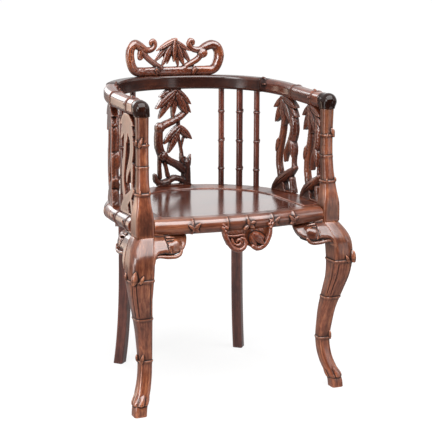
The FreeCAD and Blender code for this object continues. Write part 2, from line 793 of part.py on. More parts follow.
def bracket_outline(place, length, drop, inner):
    """Scrolled bracket that starts inside the leg and runs away from it under the rail."""
    tip = inner + length
    top = rail_floor + seat_rail_depth / 2
    root = inner - 20

    def at(away, share):
        return place(away, rail_floor - share * drop)

    scroll = Part.BSplineCurve()
    scroll.interpolate([at(tip, 0.02), at(tip - 8, 0.32), at(tip - 23, 0.68), at(tip - 28, 0.9),
                        at(tip - 40, 1.0), at(inner + 12, 0.96), at(root, 0.76)])
    corners = [at(root, 0.76), place(root, top), place(tip, top), at(tip, 0.02)]
    edges = [scroll.toShape()]
    edges += [Part.LineSegment(a, b).toShape() for a, b in zip(corners, corners[1:])]
    return Part.Face(Part.Wire(edges))


def corner_block():
    """Room of the post's block, which the brackets keep clear of."""
    return box(half_spread - block_half, half_spread + block_half, -block_half, block_half,
               rail_floor, seat_height)


def bracket_limb(place, set_back):
    """Branch that leaves the knee and turns up under the rail, and the rolled lip below it."""
    limb = ((10, 34, 402), (34, 34, 401), (52, 33, 401), (68, 32, 404), (82, 31, 413), (94, 30, 426))
    limb += ((103, 30, 444),)
    lip = ((20, 43, 387), (33, 43.5, 379), (46, 43, 375), (58, 43, 373), (68, 42, 375), (76, 40, 382))
    limb_radii = (24.0, 21.0, 19.0, 16.0, 14.0, 12.0, 11.0)
    lip_radii = (3.2, 4.5, 4.8, 4.8, 4.5, 3.2)
    shapes = []
    for points, radii in ((limb, limb_radii), (lip, lip_radii)):
        line = [place(away, reach - set_back, z + rail_floor - 434) for away, reach, z in points]
        shapes.append(stem(line, radii))
    return shapes


def front_knee_bracket(leg, rail):
    face = front_face - bracket_proud

    def place(away, z):
        return V(half_spread - away, face, z)

    board = bracket_outline(place, bracket_length, bracket_drop, block_half)
    board = board.extrude(V(0, bracket_thickness, 0))
    limb = bracket_limb(lambda away, reach, z: V(half_spread - away, -reach, z), 0)
    return largest(fuse([board] + limb).cut(fuse([leg, rail, corner_block()])))


def side_knee_bracket(leg, rail):
    face = half_spread + seat_overhang + side_bracket_proud

    def place(away, z):
        return V(face, away, z)

    board = bracket_outline(place, side_bracket_length, bracket_drop, block_half)
    board = board.extrude(V(-bracket_thickness, 0, 0))
    limb = bracket_limb(lambda away, reach, z: V(half_spread + reach, away, z), side_bracket_back)
    return largest(fuse([board] + limb).cut(fuse([leg, rail, corner_block()])))


def largest(shape):
    """The main solid left after a cut, without the slivers."""
    return max(shape.Solids, key=lambda solid: solid.Volume)


def curved_board(start, end):
    """Upright board under the round back of the seat, from one angle to another."""
    outside = back_radius + rear_leg_outset + apron_thickness / 2
    low = rail_floor - apron_drop
    points = [V(outside - apron_thickness, side_run, low), V(outside, side_run, low)]
    points += [V(outside, side_run, rail_floor), V(outside - apron_thickness, side_run, rail_floor)]
    board = Part.Face(wire(points))
    axis = V(0, side_run, 0)
    board.rotate(axis, UP, start)
    return board.revolve(axis, UP, end - start)


def pendant(rail):
    """Double scroll under the middle of the front rail."""
    face = front_face - front_bow - pendant_proud
    low = rail_floor - pendant_drop
    lobe = pendant_drop * 0.52
    across = V(0, 1, 0)
    pieces = []
    for side in (-1, 1):
        centre = V(side * 25, face, low + lobe)
        pieces.append(Part.makeCylinder(lobe, pendant_thickness, centre, across))
        tip = V(side * pendant_half_width, face, rail_floor - 4)
        under = V(side * 48, face, low + lobe * 0.9)
        start = V(side * 25, face, low + lobe * 0.4)
        top = rail_floor + seat_rail_depth / 2
        edges = [arc(start, under, tip), Part.LineSegment(tip, V(tip.x, face, top)).toShape()]
        edges.append(Part.LineSegment(V(tip.x, face, top), V(start.x, face, top)).toShape())
        edges.append(Part.LineSegment(V(start.x, face, top), start).toShape())
        pieces.append(Part.Face(Part.Wire(edges)).extrude(across * pendant_thickness))
    pieces.append(box(-25, 25, face, face + pendant_thickness, low + lobe, rail_floor + seat_rail_depth / 2))
    rim = ((57, 2, 10), (53, -2, 0), (47, -4, -14), (43, -5, -30), (33, -6, -41), (19, -6, -44))
    rim += ((8, -5, -37), (4, -4, -26), (9, -3, -15), (20, -2, -12), (30, -2, -19))
    for side in (-1, 1):
        line = [V(side * x, face + y, rail_floor + z) for x, y, z in rim]
        pieces.append(stem(line, (3.5, 5.0, 5.5, 5.5, 5.5, 5.0, 4.2, 3.6)))
    return largest(fuse(pieces).cut(rail))


# Assembly

def build():
    front_rail = front_seat_rail()
    side_rail = side_seat_rail()
    leg = front_leg()
    rear = rear_leg()
    back_quarter = back_seat_rail()

    seat_holes = [seat_mortise(0, back_y, 0)]
    for angle in spindle_angles:
        at = plan_point(angle)
        floor = V(at.x, at.y, seat_height - tenon_length - fit)
        seat_holes.append(Part.makeCylinder(spindle_tenon / 2 + fit, 2 * tenon_length, floor))
    side_holes = []
    for y in arm_splat_places:
        x, turn = splat_place(y)
        side_holes.append(seat_mortise(x, y, turn))
    sockets = fuse(seat_holes + side_holes)
    back_quarter = back_quarter.cut(fuse([sockets, rear_leg_socket()]))
    side_rail = side_rail.cut(sockets)

    nodes["front_seat_rail"] = front_rail
    add_pair("side_seat_rail", "", side_rail)
    add_pair("back_seat_rail", "", back_quarter)
    nodes["seat_panel"] = seat_panel()
    for name, y in zip(("front", "rear"), batten_places):
        nodes[f"panel_batten_{name}"] = panel_batten(y)

    add_pair("front_post", "", front_post())
    add_pair("arm_end", "", arm_end())
    add_pair("arm_rail", "", arm_rail())
    nodes["back_rail"] = back_rail()
    nodes["crest"] = crest()
    for index in range(len(spindle_angles)):
        add_pair("back_spindle", f"_{index + 1}", back_spindle(index))

    board = back_splat()
    board.translate(V(0, back_y, seat_height))
    nodes["back_splat"] = board
    for name, y in zip(("front", "rear"), arm_splat_places):
        add_pair("arm_splat", f"_{name}", arm_splat(y))

    add_pair("front_leg", "", leg)
    add_pair("rear_leg", "", rear)
    add_pair("knee_bracket_front", "", front_knee_bracket(leg, front_rail))
    add_pair("knee_bracket_side", "", side_knee_bracket(leg, side_rail))
    legs = fuse([rear, mirrored(rear)])
    nodes["back_apron"] = curved_board(rear_leg_angle, 180 - rear_leg_angle).cut(legs)
    wing = curved_board(rear_leg_angle - rear_bracket_sweep, rear_leg_angle).cut(rear)
    add_pair("rear_bracket", "", largest(wing))
    nodes["apron_pendant"] = pendant(front_rail)

    end_dowel = dowel(V(post_top_x, arm_start, arm_axis), V(0, 1, 0))
    joint_dowel = dowel(joint_dowel_place(joint_angle), joint_direction(joint_angle))
    pair = [end_dowel, joint_dowel]
    nodes["arm_dowels"] = Part.makeCompound(pair + [mirrored(one) for one in pair])
    pins = [dowel(V(u, crest_y(u), crest_floor()), UP) for u in crest_dowel_places]
    nodes["crest_dowels"] = Part.makeCompound(pins)


def write():
    """Centre the chair on its footprint and write one file for each piece."""
    everything = Part.makeCompound(list(nodes.values())).optimalBoundingBox(False, False)
    shift = V(0, -(everything.YMin + everything.YMax) / 2, 0)
    os.makedirs("parts", exist_ok=True)
    for name, shape in nodes.items():
        shape.translate(shift)
        shape.exportStep(f"parts/{name}.step")


build()
write()
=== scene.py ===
"""Looks of the horseshoe-back armchair: every stick is carved again with its nodes, buds and leaves.

Shapes are drawn in millimetres with the front posts on the line y = 0, and are moved into the
frame and turned into metres when their mesh is made.
"""

import math
import bpy
import numpy as np
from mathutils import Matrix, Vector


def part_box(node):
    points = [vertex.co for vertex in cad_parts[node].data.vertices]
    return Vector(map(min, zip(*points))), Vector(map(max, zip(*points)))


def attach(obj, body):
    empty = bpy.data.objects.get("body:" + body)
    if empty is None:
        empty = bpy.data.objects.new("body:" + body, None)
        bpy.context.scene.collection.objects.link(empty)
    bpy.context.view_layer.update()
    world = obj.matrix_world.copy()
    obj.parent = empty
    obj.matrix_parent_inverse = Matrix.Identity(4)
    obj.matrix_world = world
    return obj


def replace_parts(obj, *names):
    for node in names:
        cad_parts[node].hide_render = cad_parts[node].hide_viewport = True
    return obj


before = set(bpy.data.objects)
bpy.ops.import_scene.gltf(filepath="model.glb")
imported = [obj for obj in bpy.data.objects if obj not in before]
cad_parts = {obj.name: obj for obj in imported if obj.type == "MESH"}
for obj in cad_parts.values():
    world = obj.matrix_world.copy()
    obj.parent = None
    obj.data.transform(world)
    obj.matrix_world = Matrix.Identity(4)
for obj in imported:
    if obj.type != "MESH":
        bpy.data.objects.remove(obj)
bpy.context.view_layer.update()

import openvdb
from mathutils import Matrix

# Sizes shared with the construction
SEAT, RAIL_FLOOR = 472.0, 434.0
SPREAD, BACK_RADIUS, SIDE_RUN = 248.0, 246.0, 180.0
OVERHANG, FRAME_INSIDE = 23.0, 58.0
BLOCK, POST_TOP, BLOCK_TOP = 46.0, 714.0, 484.0
LEAN_BACK, LEAN_IN = 8.0, 4.0
ELBOW = 19.0
ARM_START, ARM_AXIS = LEAN_BACK + ELBOW, POST_TOP + ELBOW
ARM_WIDE, ARM_THICK = 36.0, 37.0
BACK_RISE, JOINT_ANGLE = 23.5, 30.0
BACK_Y = SIDE_RUN + BACK_RADIUS
CREST_FLOOR = ARM_AXIS + BACK_RISE + ARM_THICK / 2
FRONT_SPAN, FRONT_BOW, FRONT_FACE, FRONT_DEPTH = 225.0, 28.0, -20.0, 43.0
FRONT_RADIUS = (FRONT_SPAN ** 2 + FRONT_BOW ** 2) / (2 * FRONT_BOW)
FRONT_CENTRE = FRONT_FACE - FRONT_BOW + FRONT_RADIUS
GROOVE_FLOOR, GROOVE_TOP, CLEARANCE = 458.85, 465.15, 0.2
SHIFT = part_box("front_post_right")[0].y * 1000 + BLOCK / 2


# Clay: a solid on a grid of signed distances

# Distance of empty cells, how many of them lie round the grid, and how far past a shape its window reaches
FAR, BORDER, MARGIN = 30.0, 5, 4.0
# Steps of a smooth line, and how far a deep stick runs on behind its axis
LINE_STEP, DEEP = 4.0, 24.0
# How far around a point fine carving and open hollows are felt
FINE_REACH, OPEN_REACH = 2.2, 3.5
# Pieces are sawn from places this far apart, chosen by name, and a mirrored twin from further on
TIMBER_STEP, TIMBER_PLACES, TWIN_SHIFT = 40.0, 37, 517.0


def fade_in(value, start, end):
    """From 0 at start to 1 at end, and flat beyond both."""
    return np.clip((value - start) / (end - start), 0, 1)


def bell(value, at, width):
    """1 at a place, falling away on both sides of it."""
    return np.exp(-((value - at) / width) ** 2)


def soft_min(a, b, blend):
    """The lesser of two distances, rounded over where they differ by less than blend."""
    if blend <= 0:
        return np.minimum(a, b)
    share = np.clip(0.5 + 0.5 * (b - a) / blend, 0, 1)
    return b + (a - b) * share - blend * share * (1 - share)


def blurred(field, reach):
    """Mean over a cube that reaches this many cells each way."""
    for axis in range(3):
        pad = [(0, 0)] * 3
        pad[axis] = (reach + 1, reach)
        total = np.cumsum(np.pad(field, pad, mode="edge"), axis=axis, dtype=np.float32)
        high = np.take(total, np.arange(2 * reach + 1, total.shape[axis]), axis=axis)
        low = np.take(total, np.arange(0, total.shape[axis] - 2 * reach - 1), axis=axis)
        field = (high - low) / (2 * reach + 1)
    return field


def sampled(field, points):
    """Values of a grid at points given in cells, blended between the eight cells around each."""
    base = np.clip(np.floor(points).astype(int), 0, np.array(field.shape) - 2)
    part = np.clip(points - base, 0, 1)
    out = np.zeros(len(points), np.float32)
    for i in (0, 1):
        for j in (0, 1):
            for k in (0, 1):
                weight = np.abs(1 - i - part[:, 0]) * np.abs(1 - j - part[:, 1]) * np.abs(1 - k - part[:, 2])
                out += weight * field[base[:, 0] + i, base[:, 1] + j, base[:, 2] + k]
    return out


class Clay:
    """Closed solid made by joining and cutting shapes, each a (low corner, high corner, distance)."""

    def __init__(self, low, high, step):
        self.low = np.array(low, float) - BORDER * step
        self.step = step
        self.size = np.ceil((np.array(high, float) + BORDER * step - self.low) / step).astype(int) + 1
        self.high = self.low + step * self.size
        self.field = np.full(self.size, FAR, np.float32)
        self.painted_shades = []

    def window(self, low, high, margin):
        """The cells round a box, as slices of the grid and as their places on each axis."""
        a = np.floor((np.array(low) - margin - self.low) / self.step).astype(int)
        b = np.ceil((np.array(high) + margin - self.low) / self.step).astype(int) + 1
        a, b = np.clip(a, 0, self.size), np.clip(b, 0, self.size)
        lines = [(self.low[i] + self.step * np.arange(a[i], b[i])).astype(np.float32) for i in range(3)]
        return tuple(slice(i, j) for i, j in zip(a, b)), np.ix_(*lines)

    def merge(self, shape, blend, sign):
        low, high, distance = shape
        at, grid = self.window(low, high, MARGIN + blend)
        if self.field[at].size:
            self.field[at] = sign * soft_min(sign * self.field[at], distance(*grid), blend)

    def join(self, shape, blend=0.0):
        self.merge(shape, blend, 1)

    def cut(self, shape, blend=0.0):
        self.merge(shape, blend, -1)

    def everywhere(self, distance):
        """Shape that fills the grid."""
        return self.low, self.high, distance

    def whole(self, distance, blend=0.0):
        self.join(self.everywhere(distance), blend)

    def wobble(self, amount, length):
        """Uneven surface of hand carving."""
        _, (x, y, z) = self.window(self.low, self.high, 0)
        k = 2 * math.pi / length
        wave = np.sin(k * (x + 0.6 * z) + 1.3) * np.sin(k * (y - 0.4 * x) + 0.4)
        wave = wave * np.sin(k * (z + 0.5 * y) + 2.1)
        wave += 0.6 * np.sin(1.9 * k * (x - 0.7 * y) + 0.2) * np.sin(1.7 * k * (z + 0.3 * x) + 1.0)
        self.field += amount * wave.astype(np.float32)

    def paint_shade(self, shade):
        """Paint shade: darken the points for which shade(x, y, z) is near one, in creases, at joints and
        where parts lie in shade.
        """
        self.painted_shades.append(shade)

    def surface(self):
        """Points in drawing units, faces, and the hollow, ridge and painted-shade values of each point."""
        reach = 3 * self.step
        grid = openvdb.FloatGrid(reach)
        grid.copyFromArray(np.clip(self.field, -reach, reach))
        cells, quads = grid.convertToQuads(isovalue=0.0)
        filled = np.clip(0.5 - self.field / (2 * self.step), 0, 1).astype(np.float32)
        small, large = (max(1, round(blur / self.step)) for blur in (FINE_REACH, OPEN_REACH))
        near = sampled(blurred(filled, small), cells)
        wide = sampled(blurred(blurred(filled, large), large), cells)
        # Hollows, from how full the grid is round each point, become painted shade in the material; ridges
        # are lightened there as part wear, part painted highlight
        hollow = np.clip((near - 0.51) * 8.0, 0, 1) * 0.95 + np.clip((wide - 0.45) * 4.4, 0, 1) * 1.05
        ridge = np.clip((0.47 - near) * 5.0, 0, 1)
        points = self.low + cells * self.step
        paint_shade = np.zeros(len(points))
        for shade in self.painted_shades:
            paint_shade = np.maximum(paint_shade, np.clip(shade(*points.T), 0, 1))
        return points, quads, np.c_[np.clip(hollow, 0, 1), ridge, paint_shade]


def make_object(name, points, quads, tones, grain, material):
    """Mesh object in the frame's metres, with its carving and its grain kept at each point."""
    mesh = bpy.data.meshes.new(name)
    mesh.vertices.add(len(points))
    mesh.vertices.foreach_set("co", (points / 1000).astype(np.float32).ravel())
    mesh.loops.add(len(quads) * 4)
    mesh.loops.foreach_set("vertex_index", quads.astype(np.int32).ravel())
    mesh.polygons.add(len(quads))
    mesh.polygons.foreach_set("loop_start", np.arange(0, len(quads) * 4, 4, dtype=np.int32))
    mesh.polygons.foreach_set("use_smooth", np.ones(len(quads), bool))
    mesh.update(calc_edges=True)
    mesh.validate()
    shade = mesh.attributes.new("carve", "FLOAT_COLOR", "POINT")
    shade.data.foreach_set("color", np.c_[tones, np.ones(len(tones))].astype(np.float32).ravel())
    fibre = mesh.attributes.new("grain", "FLOAT_VECTOR", "POINT")
    fibre.data.foreach_set("vector", (grain / 1000).astype(np.float32).ravel())
    mesh.materials.append(material)
    obj = bpy.data.objects.new(name, mesh)
    bpy.context.scene.collection.objects.link(obj)
    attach(obj, "root")
    return obj


def finish_piece(clay, node, bend, along, material, both=True):
    """Mesh the clay, bend it into place, and show it instead of its node and of the mirrored node.

    The grain runs along one axis of the drawing, and each piece takes it from another place in the timber.
    """
    points, quads, tones = clay.surface()
    order = [along] + [i for i in range(3) if i != along]
    grain = points[:, order] + TIMBER_STEP * (sum(map(ord, node)) % TIMBER_PLACES)
    placed = bend(points)
    placed[:, 1] += SHIFT
    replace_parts(make_object("carved_" + node, placed, quads, tones, grain, material), node)
    if both:
        other = node.replace("_right", "_left")
        turned, facing = placed * np.array([-1.0, 1.0, 1.0]), quads[:, ::-1]
        mirror = make_object("carved_" + other, turned, facing, tones, grain + TWIN_SHIFT, material)
        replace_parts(mirror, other)


def as_drawn(points):
    """Bend for a piece that is drawn in place."""
    return points.copy()


# Shapes for the clay

def smooth_line(points):
    """Catmull-Rom curve through the points, cut into short steps; shares run from 0 to 1."""
    p = np.array(points, float)
    p = np.vstack([2 * p[0] - p[1], p, 2 * p[-1] - p[-2]])
    out = []
    for i in range(1, len(p) - 2):
        n = max(2, int(np.linalg.norm(p[i + 1] - p[i]) / LINE_STEP))
        t = (np.arange(n) / n)[:, None]
        a, b, c, e = p[i - 1], p[i], p[i + 1], p[i + 2]
        out.append(0.5 * (2 * b + (c - a) * t + (2 * a - 5 * b + 4 * c - e) * t ** 2
                          + (3 * b - a - 3 * c + e) * t ** 3))
    out.append(p[-2][None])
    line = np.vstack(out)
    run = np.r_[0, np.cumsum(np.linalg.norm(np.diff(line, axis=0), axis=1))]
    return line, run / run[-1]


def capsule(a, b, ra, rb, deep=False):
    """Stick with round ends; a deep one runs on behind its axis, as on a flat-backed board."""
    a, b = np.array(a, float), np.array(b, float)
    run = b - a
    length = max(float(run @ run), 1e-9)

    def distance(x, y, z):
        t = ((x - a[0]) * run[0] + (y - a[1]) * run[1] + (z - a[2]) * run[2]) / length
        t = np.clip(t, 0, 1)
        dx, dy, dz = x - a[0] - t * run[0], y - a[1] - t * run[1], z - a[2] - t * run[2]
        if deep:
            dy = np.minimum(dy, 0)
        return np.sqrt(dx * dx + dy * dy + dz * dz) - (ra + t * (rb - ra))

    top = max(ra, rb)
    behind = np.array([0, DEEP, 0]) if deep else 0
    return np.minimum(a, b) - top, np.maximum(a, b) + top + behind, distance


def tube(clay, points, radii, blend=0.0, cutting=False, deep=False):
    """Round stick along a smooth line; radii are spread evenly along it."""
    line, share = smooth_line(points)
    size = np.interp(share, np.linspace(0, 1, len(radii)), radii)
    low, high = line.min(0) - size.max() - 1, line.max(0) + size.max() + (DEEP + 1 if deep else 1)
    outer, _ = clay.window(low, high, MARGIN + blend)
    body = np.full(clay.field[outer].shape, FAR, np.float32)
    for i in range(len(line) - 1):
        low, high, distance = capsule(line[i], line[i + 1], size[i], size[i + 1], deep)
        inner, grid = clay.window(low, high, MARGIN + blend)
        here = tuple(slice(a.start - b.start, a.stop - b.start) for a, b in zip(inner, outer))
        body[here] = np.minimum(body[here], distance(*grid))
    sign = -1 if cutting else 1
    clay.field[outer] = sign * soft_min(sign * clay.field[outer], body, blend)


def leaf(root, tip, width, thick, face=(0, -1, 0), arch=0.0, groove=0.9, deep=0.0):
    """Pointed leaf with a grooved face.

    Face is the side it shows, arch lifts its middle, and deep is how far it goes on behind.
    """
    root, tip, face = (np.array(place, float) for place in (root, tip, face))
    length = np.linalg.norm(tip - root)
    along = (tip - root) / length
    out = face - along * (face @ along)
    out /= np.linalg.norm(out)
    across = np.cross(out, along)

    def distance(x, y, z):
        dx, dy, dz = x - root[0], y - root[1], z - root[2]
        run = (dx * along[0] + dy * along[1] + dz * along[2]) / length
        side = np.abs(dx * across[0] + dy * across[1] + dz * across[2])
        share = np.clip(run, 0.0, 1.0)
        rise = dx * out[0] + dy * out[1] + dz * out[2] - arch * 4 * share * (1 - share)
        half = width / 2 * 2.3 * (share + 0.03) ** 0.55 * (1.0 - share) ** 0.8
        dome = np.sqrt(np.clip(1 - (side / np.maximum(half, 0.4)) ** 2, 0, 1))
        top = thick * (0.1 + 0.9 * dome) * (1 - 0.4 * share)
        inside = np.clip(4 * share, 0, 1) * np.clip(6 * (1 - share), 0, 1)
        top = top - groove * bell(side, 0, 0.8) * inside
        body = np.maximum((side - half) * 0.9, np.maximum(rise - top, -rise - max(deep, thick * 0.8)))
        return np.maximum(body, np.maximum(-run, run - 1) * length)

    reach = width / 2 + 2 + abs(arch) + deep
    return np.minimum(root, tip) - reach, np.maximum(root, tip) + reach, distance


def hoop(centre, radius, thick):
    """Ring that faces along the second axis."""
    centre = np.array(centre, float)

    def distance(x, y, z):
        return np.hypot(np.hypot(x - centre[0], z - centre[2]) - radius, y - centre[1]) - thick

    reach = np.array([radius + thick, thick, radius + thick])
    return centre - reach, centre + reach, distance


def box_shape(low, high, round_edge=0.0):
    """Block between two corners."""
    low, high = np.array(low, float), np.array(high, float)
    mid, half = (low + high) / 2, (high - low) / 2 - round_edge

    def distance(x, y, z):
        q = [np.abs(g - m) - h for g, m, h in zip((x, y, z), mid, half)]
        out = np.sqrt(sum(np.maximum(v, 0) ** 2 for v in q))
        return out + np.minimum(np.maximum(np.maximum(q[0], q[1]), q[2]), 0) - round_edge

    return low, high, distance


def polygon(a, b, corners):
    """Signed distance from points (a, b) to a closed outline."""
    corners = np.array(corners, float)
    best = np.full(np.broadcast(a, b).shape, 1e6, np.float32)
    inside = np.zeros(best.shape, bool)
    for (x0, y0), (x1, y1) in zip(corners, np.roll(corners, -1, axis=0)):
        ex, ey = x1 - x0, y1 - y0
        t = np.clip(((a - x0) * ex + (b - y0) * ey) / max(ex * ex + ey * ey, 1e-9), 0, 1)
        best = np.minimum(best, (a - x0 - t * ex) ** 2 + (b - y0 - t * ey) ** 2)
        crossing = (y0 > b) != (y1 > b)
        inside ^= crossing & (a < x0 + ex * (b - y0) / (ey if abs(ey) > 1e-9 else 1e-9))
    return np.where(inside, -1, 1) * np.sqrt(best)


def board(corners, low, high, edge=1.5):
    """Board in the plane of the first and third axes, between two places on the second."""
    corners = np.array(corners, float)

    def distance(x, y, z):
        flat_part = polygon(x, z, corners) + edge
        thick = np.abs(y - (low + high) / 2) - (high - low) / 2 + edge
        out = np.hypot(np.maximum(flat_part, 0), np.maximum(thick, 0))
        return out + np.minimum(np.maximum(flat_part, thick), 0) - edge

    (x0, z0), (x1, z1) = corners.min(0), corners.max(0)
    return np.array([x0, low, z0]), np.array([x1, high, z1]), distance


def round_rectangle(u, v, half_u, half_v, radius):
    """Distance to a section with round corners."""
    a, b = np.abs(u) - (half_u - radius), np.abs(v) - (half_v - radius)
    return np.hypot(np.maximum(a, 0), np.maximum(b, 0)) + np.minimum(np.maximum(a, b), 0) - radius


def squarish(u, v, half, power):
    """Distance to a section between round and square; the higher the power, the squarer."""
    return (np.abs(u / half) ** power + np.abs(v / half) ** power + 1e-9) ** (1 / power) * half - half


def between(body, s, low, high):
    """The part of a stick between two places along it."""
    return np.maximum(body, np.maximum(low - s, s - high))


# Width of a node's swelling, and where its groove lies in such widths
NODE_WIDTH, GROOVE_AT = 3.2, 0.95


def node_line(s, places, rise, groove=0.9, width=NODE_WIDTH):
    """Swelling of a bamboo stick near its nodes, with a sharp groove over each swelling."""
    total = np.zeros_like(s)
    for at in places:
        t = s - at
        total = total + rise * bell(t, 0, width) - groove * bell(t, width * GROOVE_AT, 1.1)
    return total


def node_groove_shade(places, width=NODE_WIDTH, axis=0):
    """Painted shade: a dark line in the groove of each node, fading away along the stick."""
    def shade(x, y, z):
        s = (x, y, z)[axis]
        dark = np.zeros_like(s)
        for at in places:
            dark = np.maximum(dark, 0.9 * bell(s, at + width * GROOVE_AT, 1.3))
            dark = np.maximum(dark, 0.42 * np.exp(-np.abs(s - at - width) / 9.0))
        return dark
    return shade


def dark_line(at, width, strength, axis=0):
    """Painted shade across a piece, at one place on an axis."""
    return lambda *point: strength * bell(point[axis], at, width)


def shaded(start, end, strength, axis=0, least=0.0):
    """Painted shade that grows from start to end on an axis, over a least darkening everywhere."""
    return lambda *point: least + strength * fade_in(point[axis], start, end)


def bud(clay, s, foot, out, size=1.0, twist=0.0, lean=1.0):
    """Pointed bud that grows from a node; foot and out lie across the stick, lean is along it."""
    foot, out = np.array(foot, float), np.array(out, float)
    side = np.array([-out[1], out[0]])
    path = []
    for along, lift, turn in ((-3, -1.5, 0), (2, 1.2, 0.3), (7, 2.6, 0.7), (12, 2.9, 1.0)):
        at = foot + out * lift * size + side * twist * turn * size
        path.append((s + along * lean * size, at[0], at[1]))
    tube(clay, path, (2.6 * size, 3.6 * size, 2.8 * size, 0.7), 1.0)


def table(stations):
    """Smooth reading of (place, value) stations."""
    places, values = np.array(stations, float).T
    fine = np.linspace(places[0], places[-1], 400)
    line = np.interp(fine, places, values)
    pad = 14
    for _ in range(2):
        long = np.r_[2 * line[0] - line[pad:0:-1], line, 2 * line[-1] - line[-2:-pad - 2:-1]]
        line = np.convolve(long, np.ones(2 * pad + 1) / (2 * pad + 1), "valid")
    return lambda s: np.interp(s, fine, line)


# Materials

# The last colour is painted shade: hollows, creases and joints are darkened towards it
WHITE, BLACK, SHADE_COLOUR = (1, 1, 1), (0, 0, 0), (0.008, 0.0035, 0.003)


class Nodes:
    """Short ways to add nodes to a tree; an input takes a plain value or another node's output."""

    def __init__(self, tree):
        self.tree = tree

    def feed(self, socket, value):
        if isinstance(value, bpy.types.NodeSocket):
            self.tree.links.new(value, socket)
        else:
            socket.default_value = value

    def add(self, kind, inputs=None, **settings):
        """New node, with inputs by place or by name; gives its outputs."""
        node = self.tree.nodes.new("ShaderNode" + kind)
        for name, value in settings.items():
            setattr(node, name, value)
        for key, value in (inputs or {}).items():
            self.feed(node.inputs[key], value)
        return node.outputs

    def math(self, operation, a, b):
        return self.add("Math", {0: a, 1: b}, operation=operation)[0]

    def plus(self, a, b):
        return self.math("ADD", a, b)

    def times(self, a, b):
        return self.math("MULTIPLY", a, b)

    def smooth_step(self, value, start, end, low, high):
        """From low to high while the value goes from start to end."""
        inputs = dict(enumerate((value, start, end, low, high)))
        return self.add("MapRange", inputs, interpolation_type="SMOOTHSTEP")[0]

    def mix(self, factor, a, colour):
        return self.add("Mix", {0: factor, 6: a, 7: (*colour, 1)}, data_type="RGBA")[2]

    def ramp(self, value, *stops):
        made = self.tree.nodes.new("ShaderNodeValToRGB")
        bar = made.color_ramp.elements
        while len(bar) < len(stops):
            bar.new(0.5)
        for element, (place, colour) in zip(bar, stops):
            element.position = place
            element.color = (*colour, 1)
        self.feed(made.inputs["Fac"], value)
        return made.outputs["Color"]


def scaled(colour, factor):
    return tuple(part * factor for part in colour)


def wood(name, deep, middle, bright, rough=0.34, coat=1.0, gloss=0.16, mottled=0.14, carved=True):
    """Polished hardwood: fibres along the stick, dark pores, ridges lightened as wear and painted highlight,
    and painted shade in the hollows.

    A carved piece brings its own grain and hollows, a CAD node is coloured by place alone.
    """
    material = bpy.data.materials.new(name)
    material.use_nodes = True
    shader = material.node_tree.nodes["Principled BSDF"]
    nodes = Nodes(material.node_tree)
    plus, times = nodes.plus, nodes.times
    if carved:
        place = nodes.add("Attribute", attribute_name="grain")["Vector"]
        fibre_run = (9, 190, 190)
    else:
        place = nodes.add("TexCoord")["Object"]
        fibre_run = (9, 150, 150)

    def noise(run, scale, detail, distortion=0.0):
        """Noise that is drawn out along the grain."""
        stretched = nodes.add("Mapping", {"Vector": place, "Scale": run})["Vector"]
        inputs = {"Vector": stretched, "Scale": scale, "Detail": detail, "Distortion": distortion}
        return nodes.add("TexNoise", {**inputs, "Roughness": 0.55})["Fac"]

    fibres = noise(fibre_run, 1.0, 6.0, 0.6)
    figure = noise(fibre_run, 0.16, 3.0, 1.2)
    pores = noise(fibre_run, 4.2, 2.0)
    blotch = noise((1, 1, 1), 38.0, 3.0)
    patch = noise((0.5, 1, 1), 16.0, 2.0)
    mottle = noise((0.3, 1, 1), 190.0, 4.0, 0.4)
    tone = plus(times(fibres, 0.28), times(figure, 0.18))
    tone = plus(tone, times(patch, 0.54 - mottled))
    tone = plus(tone, times(mottle, mottled))
    colour = nodes.ramp(tone, (0.36, deep), (0.5, middle), (0.64, bright))
    in_pores = times(nodes.ramp(pores, (0.30, WHITE), (0.42, BLACK)), 0.55)
    in_blotches = times(nodes.ramp(blotch, (0.45, BLACK), (0.7, WHITE)), 0.3)
    colour = nodes.mix(in_pores, colour, scaled(deep, 0.35))
    colour = nodes.mix(in_blotches, colour, scaled(deep, 0.8))
    polish = plus(times(fibres, 0.16), rough - 0.08)
    if carved:
        # Hollows and the painted-shade marks are darkened towards the shade colour, with a rougher, thinner
        # coat there; ridges are lightened as part wear, part painted highlight
        carve = nodes.add("Attribute", attribute_name="carve")["Color"]
        hollow, ridge, paint_shade = nodes.add("SeparateColor", {"Color": carve})[:3]
        wear_and_highlight = times(ridge, plus(times(blotch, 0.9), 0.15))
        colour = nodes.mix(times(wear_and_highlight, 0.9), colour, tuple(min(1.0, part * 1.55 + 0.015) for part in bright))
        shade_mask = nodes.math("MINIMUM", plus(hollow, times(paint_shade, 0.85)), 0.93)
        colour = nodes.mix(shade_mask, colour, SHADE_COLOUR)
        polish = plus(polish, times(shade_mask, 0.3))
        unshaded = nodes.math("SUBTRACT", 1.0, times(shade_mask, 0.9))
        nodes.feed(shader.inputs["Coat Weight"], times(unshaded, coat))
    relief = plus(times(fibres, 0.6), times(pores, 0.4))
    bump = nodes.add("Bump", {"Strength": 0.2, "Distance": 0.0006, "Height": relief})["Normal"]
    for key, value in (("Base Color", colour), ("Roughness", polish), ("Normal", bump), ("Coat Weight", coat),
                       ("Coat Roughness", gloss), ("Coat IOR", 1.8), ("Specular IOR Level", 0.12)):
        nodes.feed(shader.inputs[key], value)
    return material


RED = (0.021, 0.0035, 0.0018), (0.095, 0.02, 0.0082), (0.225, 0.06, 0.023)
hardwood = wood("carved_hardwood", *RED, coat=0.72)
rail_wood = wood("rail_hardwood", (0.04, 0.0095, 0.0045), (0.14, 0.038, 0.017), (0.27, 0.092, 0.04),
                 coat=0.85, gloss=0.18)
